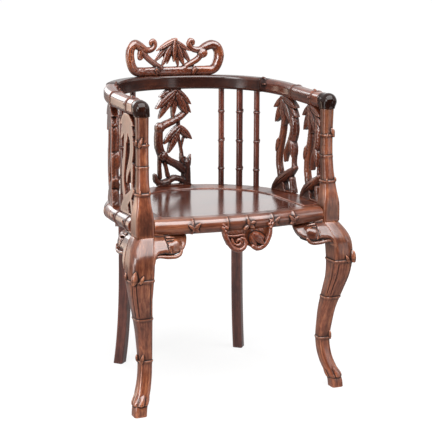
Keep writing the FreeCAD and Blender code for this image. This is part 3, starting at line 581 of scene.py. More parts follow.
# leg_wood is the rail wood made lighter for the posts and legs, painted light
leg_wood = wood("leg_hardwood", (0.06, 0.0145, 0.0065), (0.185, 0.05, 0.022), (0.37, 0.134, 0.058),
                coat=0.82, gloss=0.19, mottled=0.36)
rear_wood = wood("rear_rosewood", (0.03, 0.007, 0.005), (0.11, 0.026, 0.016), (0.22, 0.062, 0.036))
crest_wood = wood("crest_rosewood", (0.03, 0.0055, 0.0025), (0.115, 0.025, 0.0095), (0.25, 0.072, 0.026))
# dark_wood is the hardwood made darker for the back rail, painted shade
dark_wood = wood("dark_hardwood", (0.009, 0.0022, 0.0014), (0.032, 0.008, 0.0042), (0.085, 0.023, 0.011),
                 coat=0.55)
# black_wood is the elbows' own dark wood, made darker still as painted shade
black_wood = wood("elbow_wood", (0.005, 0.0018, 0.0012), (0.013, 0.0042, 0.0028), (0.035, 0.012, 0.007),
                  rough=0.12, coat=0.14, gloss=0.06)


# Posts and elbows

def post_piece():
    height = POST_TOP - BLOCK_TOP
    half = table([(RAIL_FLOOR, BLOCK / 2), (SEAT, BLOCK / 2), (486, 22.2), (497, 20.0), (510, 18.0),
                  (530, 17.2), (BLOCK_TOP + 0.35 * height, 15.2), (BLOCK_TOP + 0.6 * height, 14.4),
                  (BLOCK_TOP + 0.8 * height, 14.6), (POST_TOP, 15.5)])
    lean = table([(BLOCK_TOP + height * s, v) for s, v in
                  ((0.0, 0.0), (0.04, 0.0), (0.09, 0.05), (0.22, 0.35), (0.5, 0.95), (0.75, 1.05),
                   (1.0, 1.0))])
    places = [BLOCK_TOP + height * s for s in (0.22, 0.49, 0.715)]
    clay = Clay((RAIL_FLOOR, -27, -27), (POST_TOP, 27, 27), 1.1)

    def stick(s, u, v):
        swelling = node_line(s, places[::2], 2.2), node_line(s, places[1:2], 0.9, 0.7)
        thick = half(s).astype(np.float32) + swelling[0] + swelling[1]
        power = np.interp(s, (RAIL_FLOOR, 478, 530, 560), (9.0, 8.0, 3.6, 2.7)).astype(np.float32)
        return between(squarish(u, v, thick, power), s, RAIL_FLOOR, POST_TOP)

    clay.whole(stick)
    clay.join(leaf((places[2] - 5, 12, -12), (places[2] + 19, 5, -16), 9, 5, (0, 0.6, -0.8), 2), 0.5)
    bud(clay, places[2], (14, -6), (0.95, -0.3), 1.2, 0.6)
    bud(clay, places[2] - 1, (-6, -14.5), (0, -1), 0.6, 2.0)
    bud(clay, places[0], (12, -16.5), (0.35, -0.93), 0.9, -0.8)
    bud(clay, places[0], (17, 4), (1, 0), 0.9, 0.8)
    bud(clay, places[0], (-12, -16.5), (-0.3, -0.95), 0.7, 1.0)
    # Painted shade in the node grooves
    clay.paint_shade(node_groove_shade(places))
    # Painted shade at the joint under the elbow, over the top node, on the block and along the edges above
    # it, where the round post turns away from the light
    clay.paint_shade(dark_line(POST_TOP, 1.5, 0.8))
    clay.paint_shade(shaded(places[2] + 4, places[2] + 16, 0.5))
    clay.paint_shade(shaded(505, 475, 0.48))
    clay.paint_shade(lambda s, u, v: 0.7 * fade_in(np.abs(u) / half(s), 0.5, 1.0) * fade_in(s, 515, 555))

    def bend(p):
        lift = lean(p[:, 0])
        return np.c_[SPREAD - LEAN_IN * lift + p[:, 1], LEAN_BACK * lift + p[:, 2], p[:, 0]]

    finish_piece(clay, "front_post_right", bend, 0, leg_wood)


def elbow_piece():
    x0 = SPREAD - LEAN_IN
    clay = Clay((x0 - 20, -14, POST_TOP), (x0 + 26, ARM_START, POST_TOP + 42), 0.9)

    def turn(x, y, z):
        rho = np.hypot(y - ARM_START, z - POST_TOP) - ELBOW
        return round_rectangle(x - x0, rho, ARM_WIDE / 2, ARM_THICK / 2, 15.0)

    clay.whole(turn)
    knob = (x0 + 3, LEAN_BACK - 1, ARM_AXIS - 1)
    clay.join(capsule(knob, np.array(knob) + 0.01, 20.5, 20.5), 4.0)
    clay.cut(box_shape((x0 - 60, -60, POST_TOP - 60), (x0 + 60, 90, POST_TOP)))
    clay.cut(box_shape((x0 - 60, ARM_START, POST_TOP - 10), (x0 + 60, ARM_START + 60, POST_TOP + 90)))
    finish_piece(clay, "arm_end_right", as_drawn, 2, black_wood)


# Arms and back rail

def rail_lift(y):
    """How far arms and back rail have risen from the elbow, by their place from front to back."""
    share = fade_in(y, ARM_START, BACK_Y)
    return BACK_RISE * (1 - np.cos(np.pi * share)) / 2


def arm_bend(p):
    """From a straight stick to the arm: nearly straight beside the seat, then on the back's curve."""
    straight = SIDE_RUN - ARM_START
    angle = np.maximum(p[:, 0] - straight, 0) / BACK_RADIUS
    y0 = ARM_START + np.minimum(p[:, 0], straight)
    share = fade_in(y0, ARM_START, SIDE_RUN)
    x0 = SPREAD - LEAN_IN + (BACK_RADIUS - SPREAD + LEAN_IN) * share * (2 - share)
    on_arc = p[:, 0] > straight
    x = np.where(on_arc, (BACK_RADIUS + p[:, 1]) * np.cos(angle), x0 + p[:, 1])
    y = np.where(on_arc, SIDE_RUN + (BACK_RADIUS + p[:, 1]) * np.sin(angle), y0)
    middle = np.where(on_arc, SIDE_RUN + BACK_RADIUS * np.sin(angle), y0)
    return np.c_[x, y, ARM_AXIS + rail_lift(middle) + p[:, 2]]


def arm_piece():
    length = SIDE_RUN - ARM_START + BACK_RADIUS * math.radians(JOINT_ANGLE)
    places = [38.0, 148.5]
    clay = Clay((0, -24, -24), (length, 24, 25), 1.2)

    def stick(s, u, v):
        grow = node_line(s, places, 2.0)
        return between(round_rectangle(u, v, ARM_WIDE / 2 + grow, ARM_THICK / 2 + grow, 13.0), s, 0, length)

    clay.whole(stick)
    bud(clay, places[0], (-3, 18), (0, 1), 1.2, -1.2)
    bud(clay, places[0], (-18, 4), (-1, 0), 0.9, 1.0)
    bud(clay, places[0] + 2, (17, 6), (1, 0.2), 0.9, -1.0)
    bud(clay, length - 14, (-10, 17), (-0.4, 0.9), 1.15, -1.5)
    bud(clay, length - 12, (-17, 4), (-1, 0.2), 1.0, -1.0, lean=-1)
    # Painted shade in the node grooves
    clay.paint_shade(node_groove_shade(places))
    # Painted shade towards the back rail, and at the joint with the elbow
    clay.paint_shade(shaded(length - 26, length - 18, 0.8))
    clay.paint_shade(dark_line(0, 1.5, 0.9))
    finish_piece(clay, "arm_rail_right", arm_bend, 0, hardwood)


def back_rail_piece():
    length = BACK_RADIUS * math.radians(180 - 2 * JOINT_ANGLE)
    clay = Clay((0, -20, -20), (length, 20, 20), 1.6)
    clay.whole(lambda s, u, v: between(round_rectangle(u, v, ARM_WIDE / 2, ARM_THICK / 2, 6.5), s, 0, length))

    def bend(p):
        angle = math.radians(JOINT_ANGLE) + p[:, 0] / BACK_RADIUS
        radius = BACK_RADIUS + p[:, 1]
        lift = rail_lift(SIDE_RUN + BACK_RADIUS * np.sin(angle))
        return np.c_[radius * np.cos(angle), SIDE_RUN + radius * np.sin(angle), ARM_AXIS + lift + p[:, 2]]

    # Painted shade at both ends, where the rail meets the arms
    for end in (0, length):
        clay.paint_shade(dark_line(end, 9.0, 0.8))
    finish_piece(clay, "back_rail", bend, 0, dark_wood, both=False)


# Spindles: angle on the back's curve in degrees, and radius

SPINDLES = ((34.7, 7.5), (46.6, 8.5), (58.6, 7.5))


def spindle_piece(index, degrees, radius):
    angle = math.radians(degrees)
    x0, y0 = BACK_RADIUS * math.cos(angle), SIDE_RUN + BACK_RADIUS * math.sin(angle)
    top = ARM_AXIS + float(rail_lift(y0 - radius)) - ARM_THICK / 2 + 0.6
    places = [SEAT + rise for rise in (46, 124, 204)]
    clay = Clay((SEAT, -15, -15), (top, 15, 15), 1.0)

    def stick(s, u, v):
        thick = radius + 0.4 + node_line(s, places, 1.9, 0.8, 2.8)
        return between(np.hypot(u, v) - thick, s, SEAT, top)

    clay.whole(stick)
    for number, place in enumerate(places):
        side = 1 if (number + index) % 2 else -1
        bud(clay, place, (side * (radius - 0.6), -1.5), (side, -0.2), 0.62, 0.3)
    # Painted shade in the node grooves, and growing down towards the seat
    clay.paint_shade(node_groove_shade(places, 2.8))
    clay.paint_shade(shaded(SEAT + 150, SEAT + 40, 0.6))

    def bend(p):
        return np.c_[x0 + p[:, 1], y0 + p[:, 2], p[:, 0]]

    finish_piece(clay, "back_spindle_right_%d" % (index + 1), bend, 0, rear_wood)


# Splats and crest, drawn as seen from the front: across, then up from the floor of the carving

BOARD_BACK = 9.0
ARM_SPLATS = (("front", 88.0), ("rear", 228.0))


def carved_board(clay, stretch, stems, leaves, scores, deep=True):
    """Stems as (points, depth, radii), leaves as (root, tip, width, thick, depth), scores as cut lines.

    The carving's sides get painted shade, a dark band behind the middle of the board.
    """
    for points, depth, radii in stems:
        tube(clay, [(x, depth, z * stretch) for x, z in points], radii, 1.5, deep=deep)
    for (root_x, root_z), (tip_x, tip_z), width, thick, depth in leaves:
        root, tip = (root_x, depth, root_z * stretch), (tip_x, depth - 1, tip_z * stretch)
        clay.join(leaf(root, tip, width, thick, arch=2.0, groove=1.5, deep=20.0 if deep else 0.0))
    for points, depth, radius in scores:
        line = [(x, depth, z * stretch) for x, z in points]
        tube(clay, line, (0.4, radius, radius, 0.4), 0.6, cutting=True)
    # Painted shade on the sides of the carving
    clay.paint_shade(dark_line(3.0, 4.0, 0.6, axis=1))


def trimmed(clay, top, half_width):
    """Cut a splat's board off at the seat, under the rail and flat at its back."""
    clay.cut(box_shape((-3 * half_width, -60, -60), (3 * half_width, 60, 0)))
    clay.cut(box_shape((-3 * half_width, -60, top), (3 * half_width, 60, top + 60)))
    clay.cut(box_shape((-3 * half_width, BOARD_BACK, -60), (3 * half_width, 90, top + 60)))


def back_splat_piece():
    drawn = 267.0
    top = ARM_AXIS + float(rail_lift(BACK_Y - 9)) - ARM_THICK / 2 - SEAT + 0.4
    clay = Clay((-62, -19, 0), (62, BOARD_BACK, top), 1.0)
    stems = [(((38, 203), (20, 189), (-4, 177), (-26, 168), (-38, 161)), -1, (8.0, 9.0, 9.5, 10.0, 11.0)),
             (((-39, 163), (-39.5, 161)), -2, (13.0, 12.5)),
             (((-40, 158), (-42, 132), (-40, 106), (-32, 86)), 0, (10.5, 11.5, 11.5, 11.5)),
             (((-31, 85), (-30, 83)), -2, (13.5, 13.0)),
             (((-28, 82), (-8, 68), (12, 57), (30, 44)), -1, (10.5, 10.0, 11.0, 12.0)),
             (((18, 188), (17, 174), (16, 160)), 2, (5.0, 4.5, 6.0)),
             (((15, 150), (18, 128), (24, 104), (28, 78)), 2, (4.5, 3.8, 4.2, 4.5)),
             (((36, 142), (30, 126), (25, 108)), 2, (4.0, 3.5, 3.5)),
             (((-38, 76), (-39, 52), (-38, 24)), 2, (6.0, 5.0, 6.0)),
             (((-26, 70), (-20, 52), (-15, 28)), 2, (6.0, 5.0, 6.0)),
             (((-54, 32), (-50, 16), (-36, 9), (-18, 12), (0, 21), (18, 18), (32, 10)), -4,
              (4.5, 7.5, 8.5, 8.0, 8.0, 9.0)),
             (((38, 2), (38, 40), (38, 62)), -1, (13.0, 12.5, 11.0)),
             (((30, 58), (25, 74), (22, 88)), -2, (7.5, 5.5, 1.5)),
             (((44, 58), (48, 72), (51, 84)), -2, (7.5, 5.0, 1.2)),
             (((37, 60), (37, 70), (36, 78)), -4, (7.0, 5.0, 1.5))]
    leaves = [((8, 267), (-40, 245), 20, 6, -3), ((6, 264), (-51, 213), 22, 8, -5),
              ((0, 256), (-42, 186), 20, 6, -2), ((2, 267), (52, 223), 21, 7, -4),
              ((6, 263), (52, 199), 21, 6, -2), ((8, 256), (38, 196), 24, 9, -5),
              ((6, 254), (-2, 186), 15, 6, -4), ((4, 258), (-24, 206), 14, 6, -6),
              ((18, 166), (-29, 116), 20, 7, -3), ((17, 160), (-16, 91), 19, 7, -5),
              ((12, 166), (54, 127), 22, 7, -4), ((22, 158), (40, 128), 14, 5, -2)]
    scores = [(((32, 6), (31, 30), (33, 56)), -13.5, 1.6), (((40, 6), (41, 30), (40, 60)), -13.5, 1.6),
              (((46, 6), (47, 30), (45, 50)), -11.0, 1.4), (((-24, 84), (0, 68), (20, 54)), -12, 1.2),
              (((-50, 22), (-36, 10), (-16, 12), (6, 22)), -12.5, 1.4),
              (((-46, 150), (-48, 124), (-44, 100)), -11, 1.1),
              (((-36, 152), (-37, 124), (-34, 100)), -12, 1.1)]
    carved_board(clay, top / drawn, stems, leaves, scores)
    clay.join(hoop((-39, -8, 162 * top / drawn), 9.5, 3.0), 1.0)
    clay.join(hoop((-31, -9, 85 * top / drawn), 9.5, 3.2), 1.0)
    clay.join(box_shape((-16, -9, top - 8), (22, 9, top), 2), 2.0)
    clay.join(box_shape((-48, -11, 0), (50, 9, 5), 2.0), 3.0)
    clay.wobble(0.4, 17.0)
    trimmed(clay, top, 60)
    # A little darker all over, with painted shade growing down towards the seat
    clay.paint_shade(shaded(130, 40, 0.6, axis=2, least=0.15))
    finish_piece(clay, "back_splat", lambda p: p + np.array([0, BACK_Y, SEAT]), 2, hardwood, both=False)


def arm_splat_piece(name, y):
    drawn = 252.0
    turn = math.asin(max(y - SIDE_RUN, 0) / BACK_RADIUS) - math.pi / 2
    x0 = math.sqrt(BACK_RADIUS ** 2 - (y - SIDE_RUN) ** 2) if y > SIDE_RUN else SPREAD - 2 * y / SIDE_RUN
    top = ARM_AXIS + float(rail_lift(y - 9)) - ARM_THICK / 2 - SEAT + 0.4
    clay = Clay((-54, -18, 0), (54, BOARD_BACK, top), 1.0)
    stems = [(((6, 242), (22, 226), (34, 206), (40, 184), (40, 162), (32, 140), (19, 120), (8, 102), (4, 82)),
              -1, (7.0, 8.0, 9.5, 11.0, 11.5, 11.5, 10.0, 7.5, 3.5)),
             (((0, 240), (-4, 205), (-5, 180), (-9, 155), (-16, 128), (-23, 100), (-24, 75), (-18, 50),
               (-12, 30)), 0, (6.0, 7.0, 7.5, 8.0, 8.5, 8.5, 8.0, 8.5, 9.0)),
             (((40, 118), (39, 98), (38, 80), (40, 64)), 1, (7.0, 6.0, 5.5, 7.0)),
             (((-34, 8), (-18, 24), (4, 38), (28, 54), (44, 67)), -2, (10.0, 13.0, 13.5, 11.5, 6.0)),
             (((32, 36), (36, 20), (40, 3)), -1, (7.0, 7.0, 8.5)),
             (((-19, 132), (-22, 118)), -4, (8.5, 7.0))]
    leaves = [((4, 250), (-40, 221), 20, 7, -4), ((2, 244), (-36, 182), 25, 7, -2),
              ((0, 246), (5, 178), 26, 9, -5), ((0, 250), (52, 225), 20, 7, -4),
              ((6, 244), (52, 201), 23, 7, -2), ((8, 236), (36, 182), 20, 8, -5),
              ((35, 140), (43, 94), 19, 9, -4), ((-14, 142), (-27, 104), 14, 7, -5)]
    scores = [(((-36, 14), (-14, 36), (16, 56), (36, 66)), -11.0, 1.5),
              (((-30, 8), (-6, 28), (20, 46), (40, 60)), -14.0, 1.5),
              (((-20, 4), (4, 22), (26, 40)), -13.0, 1.5),
              (((30, 176), (34, 158), (26, 138), (12, 118)), -12.0, 1.1)]
    carved_board(clay, top / drawn, stems, leaves, scores)
    clay.join(board(((-44, 0), (-41, 12), (-22, 36), (6, 32), (16, 0)), -11, BOARD_BACK), 2.0)
    clay.join(hoop((37, -3, 184 * top / drawn), 8.0, 4.6), 1.0)
    clay.join(box_shape((-14, -9, top - 8), (20, 9, top), 2), 2.0)
    clay.join(box_shape((-40, -10, 0), (44, 9, 5), 2.0), 3.0)
    clay.wobble(0.4, 15.0)
    trimmed(clay, top, 50)

    def bend(p):
        cosine, sine = math.cos(turn), math.sin(turn)
        out, back = x0 + cosine * p[:, 0] - sine * p[:, 1], y + sine * p[:, 0] + cosine * p[:, 1]
        return np.c_[out, back, SEAT + p[:, 2]]

    # Painted shade on the carved front, a little all over and growing down towards the seat
    clay.paint_shade(lambda x, y, z: (0.1 + 0.5 * fade_in(z, 110, 20)) * (y < BOARD_BACK - 1))
    finish_piece(clay, "arm_splat_right_" + name, bend, 2, hardwood)


def crest_piece():
    clay = Clay((-146, -18, 0), (146, 18, 102), 1.0)
    stems = [(((-96, 12), (-110, 13), (-121, 22), (-128, 40), (-130, 59), (-126, 76), (-114, 85), (-99, 79),
               (-82, 68)), 0, (12.0, 12.5, 13.0, 13.0, 12.5, 12.5, 12.5, 12.0, 9.5)),
             (((-86, 69), (-68, 69), (-57, 76), (-54, 86), (-59, 93), (-66, 90), (-66, 84)), 0,
              (9.5, 8.8, 8.0, 7.4, 7.0, 6.2, 5.0)),
             (((-92, 66), (-86, 57), (-71, 43), (-54, 31), (-38, 20)), -1, (8.5, 8.2, 8.0, 8.0, 8.5)),
             (((-94, 72), (-98, 60), (-99, 50)), 0, (9.5, 9.5, 8.0)),
             (((96, 12), (108, 13), (118, 22), (125, 40), (127, 57), (121, 74), (108, 81), (92, 76),
               (75, 66)), 0, (12.0, 12.5, 13.0, 13.0, 12.5, 12.5, 12.5, 11.5, 9.0)),
             (((78, 67), (60, 68), (48, 76), (44, 86), (49, 93), (56, 90), (56, 84)), 0,
              (9.5, 8.8, 8.0, 7.4, 7.0, 6.2, 5.0)),
             (((80, 58), (67, 42), (50, 32), (36, 24), (24, 15)), -1, (9.0, 8.6, 8.2, 8.2, 8.5)),
             (((81, 59), (81.5, 57.5)), -2, (13.0, 12.5))]
    leaves = [((8, 98), (-54, 66), 15, 8, -5), ((-9, 97), (48, 64), 15, 7, -3),
              ((-6, 92), (-60, 34), 18, 6, -1), ((-3, 90), (-36, 24), 19, 8, -4),
              ((-1, 93), (-2, 36), 14, 9, -8), ((3, 90), (29, 24), 18, 8, -4),
              ((6, 92), (50, 30), 18, 6, -1), ((-2, 88), (-20, 30), 13, 6, -2),
              ((3, 70), (13, 22), 13, 6, -2)]
    scores = [(((-128, 34), (-131, 58), (-126, 76)), -11.5, 1.0),
              (((-112, 84), (-98, 77), (-84, 69)), -11, 1.0)]
    places = (-52.0, 56.0)
    bar_rise = 12.0
    carved_board(clay, 1.0, stems, leaves, scores, deep=False)
    clay.join(hoop((81, -8, 58.5), 9.0, 3.4), 0.5)
    clay.join(hoop((-99, -4, 52), 5.5, 3.4), 0.5)
    for turn in range(5):
        spot = (81 + 4.5 * math.cos(1.26 * turn), -12, 58.5 + 4.5 * math.sin(1.26 * turn))
        clay.join(capsule(spot, (spot[0], -10, spot[2]), 2.6, 3.0), 0.3)

    def bar(x, y, z):
        grow = node_line(x, places, 1.6)
        return between(round_rectangle(y, z - bar_rise, 10.6 + grow, bar_rise + grow, 9.6), x, -104, 104)

    clay.whole(bar, 3.0)
    for place, lean in zip(places, (1, -1)):
        clay.join(leaf((place - lean * 4, -11, 19), (place + lean * 6, -11, 4), 13, 4, arch=1), 0.8)
    clay.wobble(0.15, 24.0)
    # Painted shade in the node grooves, on the bar only
    clay.paint_shade(lambda x, y, z: (z < 2 * bar_rise + 2) * node_groove_shade(places)(x, y, z))
    clay.cut(box_shape((-200, -60, -60), (200, 60, 0)))

    def bend(p):
        out = p.copy()
        out[:, 1] += BACK_Y - 5 - 20 * (p[:, 0] / 141.0) ** 2
        out[:, 2] += CREST_FLOOR
        return out

    finish_piece(clay, "crest", bend, 0, crest_wood, both=False)


# Legs

def swing(foot, ankle, knee):
    """How far a front leg's axis goes out, by height; foot, ankle and knee are its turning points."""
    stations = ((0.0, foot), (0.06, 0.95 * foot), (0.116, 0.37 * foot), (0.197, -0.42 * ankle),
                (0.29, -ankle), (0.387, -0.45 * ankle), (0.48, 0.04 * knee), (0.6, 0.5 * knee),
                (0.7, 0.89 * knee), (0.77, knee), (0.83, knee), (0.9, 0.93 * knee), (0.95, 0.6 * knee),
                (1.0, 0.0))
    return table([(s * RAIL_FLOOR, v) for s, v in stations])


leg_out, leg_ahead = swing(21, 5.5, 20), swing(21, 8, 31.5)
leg_half = table([(s * RAIL_FLOOR, w / 2) for s, w in
                  ((0, 34), (0.116, 35), (0.197, 33), (0.29, 32.5), (0.48, 39.5), (0.7, 54), (0.83, 60),
                   (0.9, 59), (0.95, 55), (1.0, 45.5))])
LEG_NODES = [RAIL_FLOOR * share for share in (0.296, 0.55, 0.78)]
LEG_START, CLAW_FLOOR, CLAW_TOP, CLAW_TURNS, SOLE_HALF = 34, 26, 56, 3.5, 16.2
REAR_ANGLE, REAR_HALF, REAR_CORNER, REAR_SWEEP = 48.0, 14.0, 17.2, 21.0


def leg_bead(s, u, v):
    """Lines scored beside the leg's edges, between the two upper nodes and above the foot."""
    share = np.minimum(np.abs(u), np.abs(v)) / leg_half(s)
    upper = fade_in(s, LEG_NODES[1] + 7, LEG_NODES[1] + 12) * fade_in(s, LEG_NODES[2] - 5, LEG_NODES[2] - 10)
    lower = 0.8 * fade_in(s, 62, 74) * fade_in(s, LEG_NODES[0] - 5, LEG_NODES[0] - 10)
    return bell((share - 0.62) * leg_half(s), 0, 1.2) * np.maximum(upper, lower)


def leg_stick(s, u, v):
    """Faceted stick of the front leg; u and v are measured from its axis."""
    half = leg_half(s).astype(np.float32) + node_line(s, LEG_NODES, 1.8)
    knee = fade_in(s, 290, 370)
    beside_bracket = np.maximum(np.clip(-u / half, 0, 1), np.clip(v / half, 0, 1))
    power = 3.4 + knee * (6.0 * beside_bracket - 1.0)
    body = squarish(u, v, half, power) + 0.9 * leg_bead(s, u, v)
    return between(body, s, LEG_START, RAIL_FLOOR)


def leg_room(x, y, z):
    """The leg as the brackets meet it, in the chair's own directions."""
    return leg_stick(z, x - SPREAD - leg_out(z), y + leg_ahead(z))


def leg_foot(s, u, v):
    """Hoof with claws, on a square sole."""
    claws = 3.0 * np.abs(np.sin(CLAW_TURNS * np.arctan2(v, u)))
    collar = np.interp(s, (CLAW_FLOOR, 28, 34, 40, 48, 58), (17.0, 19.0, 19.8, 19.0, 16.8, 12.5))
    hoof = between(np.hypot(u, v) - collar - claws + 0.5, s, CLAW_FLOOR, CLAW_TOP)
    sole = between(round_rectangle(u, v, SOLE_HALF, SOLE_HALF, 8.0), s, 0, 30)
    return soft_min(hoof, sole, 1.0)


def front_leg_piece():
    clay = Clay((0, -36, -36), (RAIL_FLOOR, 38, 36), 1.2)
    clay.whole(leg_stick)
    clay.whole(leg_foot, 1.5)
    knot = LEG_NODES[2]
    clay.join(leaf((knot - 6, 23, -24), (knot + 26, 20, -28), 15, 8, (0, 0.7, -0.7), 2), 0.6)
    clay.join(leaf((knot - 4, 9, -27), (knot + 15, 0, -30), 9, 4.5, (0, 0.1, -1), 1), 0.4)
    clay.cut(leaf((knot - 1, 15, -29), (knot + 13, 11, -30), 5, 2.5, (0, 0.3, -1)), 0.6)
    bud(clay, knot, (27, 8), (1, 0), 1.5, -0.6)
    clay.join(leaf((LEG_NODES[0] - 5, 13, -13), (LEG_NODES[0] + 20, 9, -17), 9, 5, (0, 0.6, -0.8), 2), 0.5)
    bud(clay, LEG_NODES[0], (16, 2), (1, 0), 1.4, -0.6)
    # Painted shade in the node grooves and the scored beads
    clay.paint_shade(node_groove_shade(LEG_NODES))
    clay.paint_shade(lambda s, u, v: 0.75 * leg_bead(s, u, v))
    # Painted shade on the knee under the seat, under the claws and between them
    clay.paint_shade(shaded(335, 375, 0.38))
    clay.paint_shade(dark_line(CLAW_FLOOR + 0.5, 1.6, 0.8))
    clay.paint_shade(lambda s, u, v: 0.8 * bell(np.sin(CLAW_TURNS * np.arctan2(v, u)), 0, 0.22)
             * (np.abs(s - 37) < 10))

    def bend(p):
        return np.c_[SPREAD + leg_out(p[:, 0]) + p[:, 1], p[:, 2] - leg_ahead(p[:, 0]), p[:, 0]]

    finish_piece(clay, "front_leg_right", bend, 0, leg_wood)


def bracket_piece(node, swung, place, keep_clear):
    """Limb flush with the knee: it turns up under the rail, with a node, leaves and a curled lip below.

    Drawn by its distance from the post's axis, its reach to the outside and its height.
    """
    clay = Clay((-12, 8, 366), (118, 68, 448), 0.9)

    def face(t, z):
        back = np.interp(t, (0, 30, 49, 52, 70, 94, 112), (0.3, 0.6, 1.0, 3.0, 4.0, 7.0, 11.0))
        return swung(z) + leg_half(z) - back - 0.6 * np.clip(z - 426, 0, 8)

    def limb(t, w, z):
        under = np.interp(t, (-12, 8, 12, 15, 19, 24, 40, 50, 62, 78, 90, 98, 104, 109, 112),
                          (330, 366, 380, 388, 393, 396, 398, 396, 395, 396, 402, 411, 422, 434, 446))
        body = -soft_min(-0.8 * (w - face(t, z)), -0.8 * (under - z), 11.0)
        return np.maximum(np.maximum(body, 10 - w), t - 113)

    clay.whole(limb)
    rim = face(20.0, 396.0)
    outline = ((97, 418), (91, 405), (84, 395), (66, 388), (40, 388), (24, 391), (14, 384), (4, 366),
               (4, 418))
    clay.join(board(outline, 12, rim - 22))
    clay.join(capsule((58, face(58, 404) - 15, 409), (70, face(70, 406) - 16, 413), 15.5, 14.0), 4.0)
    lip = ((13, 6, 387), (20, 4, 392), (30, 3, 392), (42, 3, 390), (54, 4, 389), (66, 5, 389), (76, 7, 393),
           (81, 9, 401))
    tube(clay, [(t, rim - back, z) for t, back, z in lip], (2.0, 3.2, 4.0, 4.4, 4.4, 4.4, 4.2, 3.6), 0.8)
    tube(clay, [(47 + 0.05 * (430 - z), face(47, z) + 0.8, z) for z in (432, 424, 416, 408, 400, 396)],
         (1.5, 1.9, 1.9, 1.9, 1.7, 1.5), 0.6, cutting=True)
    clay.cut(leaf((49, face(50, 424) + 1, 424), (74, face(74, 421) + 1, 421), 9, 5, (0, 0.7, 0.7)), 0.8)
    clay.join(leaf((47, face(47, 430) - 1, 431), (73, face(73, 428) - 1, 429), 6, 3.4, (0, 0.7, 0.7), 1), 0.3)
    clay.join(leaf((50, face(50, 420) - 1, 419), (66, face(66, 412), 408), 8, 3.4, (0, 0.9, 0.4), 1), 0.3)
    clay.join(leaf((49, face(50, 412) - 1, 414), (55, face(55, 400), 397), 7, 3.0, (0, 0.9, 0.4), 1), 0.3)
    # Painted shade in the cut node, in the scoop underneath and along the leg, over a little darkening all
    # over
    clay.paint_shade(lambda t, w, z: 0.9 * bell(t, 48.0, 1.4) * (z > 394))
    clay.paint_shade(lambda t, w, z: 0.9 * ((w < rim - 16) & (z < 404)))
    clay.paint_shade(lambda t, w, z: 0.15 + 0.3 * bell(leg_room(*place(t, w, z)), 0, 3))

    def neighbours(t, w, z):
        return np.minimum.reduce([room(*place(t, w, z)) for room in keep_clear]) - CLEARANCE

    clay.cut(clay.everywhere(neighbours))
    finish_piece(clay, node, lambda p: np.stack(place(*p.T), axis=1), 0, rail_wood)


# Rooms of the seat frame, which brackets and pendant keep clear of

def nose(depth, z, rise):
    """Section of a seat rail: half-round outside, flat inside; depth is measured inwards."""
    half = (SEAT - RAIL_FLOOR) / 2
    v = z - (SEAT + RAIL_FLOOR) / 2
    ball = np.hypot(np.minimum(depth - half, 0), v) - half - np.where(depth < half, rise, 0)
    return np.maximum(ball, np.abs(v) - half)


def front_rail_room(x, y, z):
    depth = FRONT_RADIUS - np.hypot(x, y - FRONT_CENTRE)
    return np.maximum(nose(depth, z, 0.0), depth - FRONT_DEPTH)


def side_rail_room(x, y, z):
    return nose(SPREAD + OVERHANG - 2 * y / SIDE_RUN - x, z, 0.0)


def block_room(x, y, z):
    return np.maximum(np.maximum(np.abs(x - SPREAD), np.abs(y)) - BLOCK / 2, RAIL_FLOOR - z)


def brackets():
    bracket_piece("knee_bracket_front_right", leg_ahead, lambda t, w, z: (SPREAD - t, -w, z),
                  (leg_room, front_rail_room, block_room))
    bracket_piece("knee_bracket_side_right", leg_out, lambda t, w, z: (SPREAD + w, t, z),
                  (leg_room, side_rail_room, block_room))


def pendant_piece():
    """Two lobes under the rail: a curled leaf in a hollow on the left, a full lobe on the right."""
    clay = Clay((-74, -66, 378), (80, -24, 460), 0.9)
    outline = ((60, 438), (55, 420), (46, 402), (33, 391), (17, 389), (5, 396), (0, 400), (0, 443),
               (58, 443))
    rim = ((58, -48, 437), (56, -51, 426), (50, -53, 413), (43, -54, 402), (32, -54, 394), (19, -54, 392),
           (9, -54, 398), (5, -53, 408), (8, -51, 417), (16, -50, 420))
    radii = (5.0, 5.6, 5.8, 6.0, 6.2, 6.2, 5.6, 4.8, 3.8, 2.2)
    beads = ((58, -50, 440, 5.5), (62, -49, 447, 4.8), (54, -51, 448, 4.6), (60, -48, 454, 3.6))
    for side, shift, count in ((-1, 0.0, len(rim)), (1, 5.0, 7)):
        clay.join(board([(side * x + shift * (x > 1), z) for x, z in outline], -40, -28), 0.5)
        tube(clay, [(side * x + shift, y, z) for x, y, z in rim[:count]], radii[:count], 1.0)
        for x, y, z, size in beads:
            spot = (side * x + shift, y, z)
            clay.join(capsule(spot, (spot[0] + 2 * side, y, z + 2), size, 0.7 * size), 0.5)
    curl = ((-37, -44, 417), (-35, -46, 406), (-26, -48, 401), (-16, -48, 405), (-15, -48, 413),
            (-22, -48, 416), (-26, -48, 411))
    tube(clay, curl, (3.0, 5.0, 5.4, 5.0, 4.4, 3.8, 2.4), 0.5)
    tube(clay, ((-52, -45, 427), (-30, -46, 425), (-6, -45, 427)), (2.2, 2.6, 2.2), 0.8)
    clay.join(capsule((25, -41, 415), (35, -41, 412), 17.0, 15.5), 1.0)
    clay.join(leaf((12, -54, 430), (42, -57, 401), 17, 4, arch=2), 0.3)
    clay.join(leaf((10, -53, 424), (22, -55, 398), 11, 4, arch=1), 0.3)
    clay.wobble(0.25, 17.0)
    clay.cut(clay.everywhere(lambda x, y, z: front_rail_room(x, y, z) - CLEARANCE))
    finish_piece(clay, "apron_pendant", as_drawn, 0, hardwood, both=False)


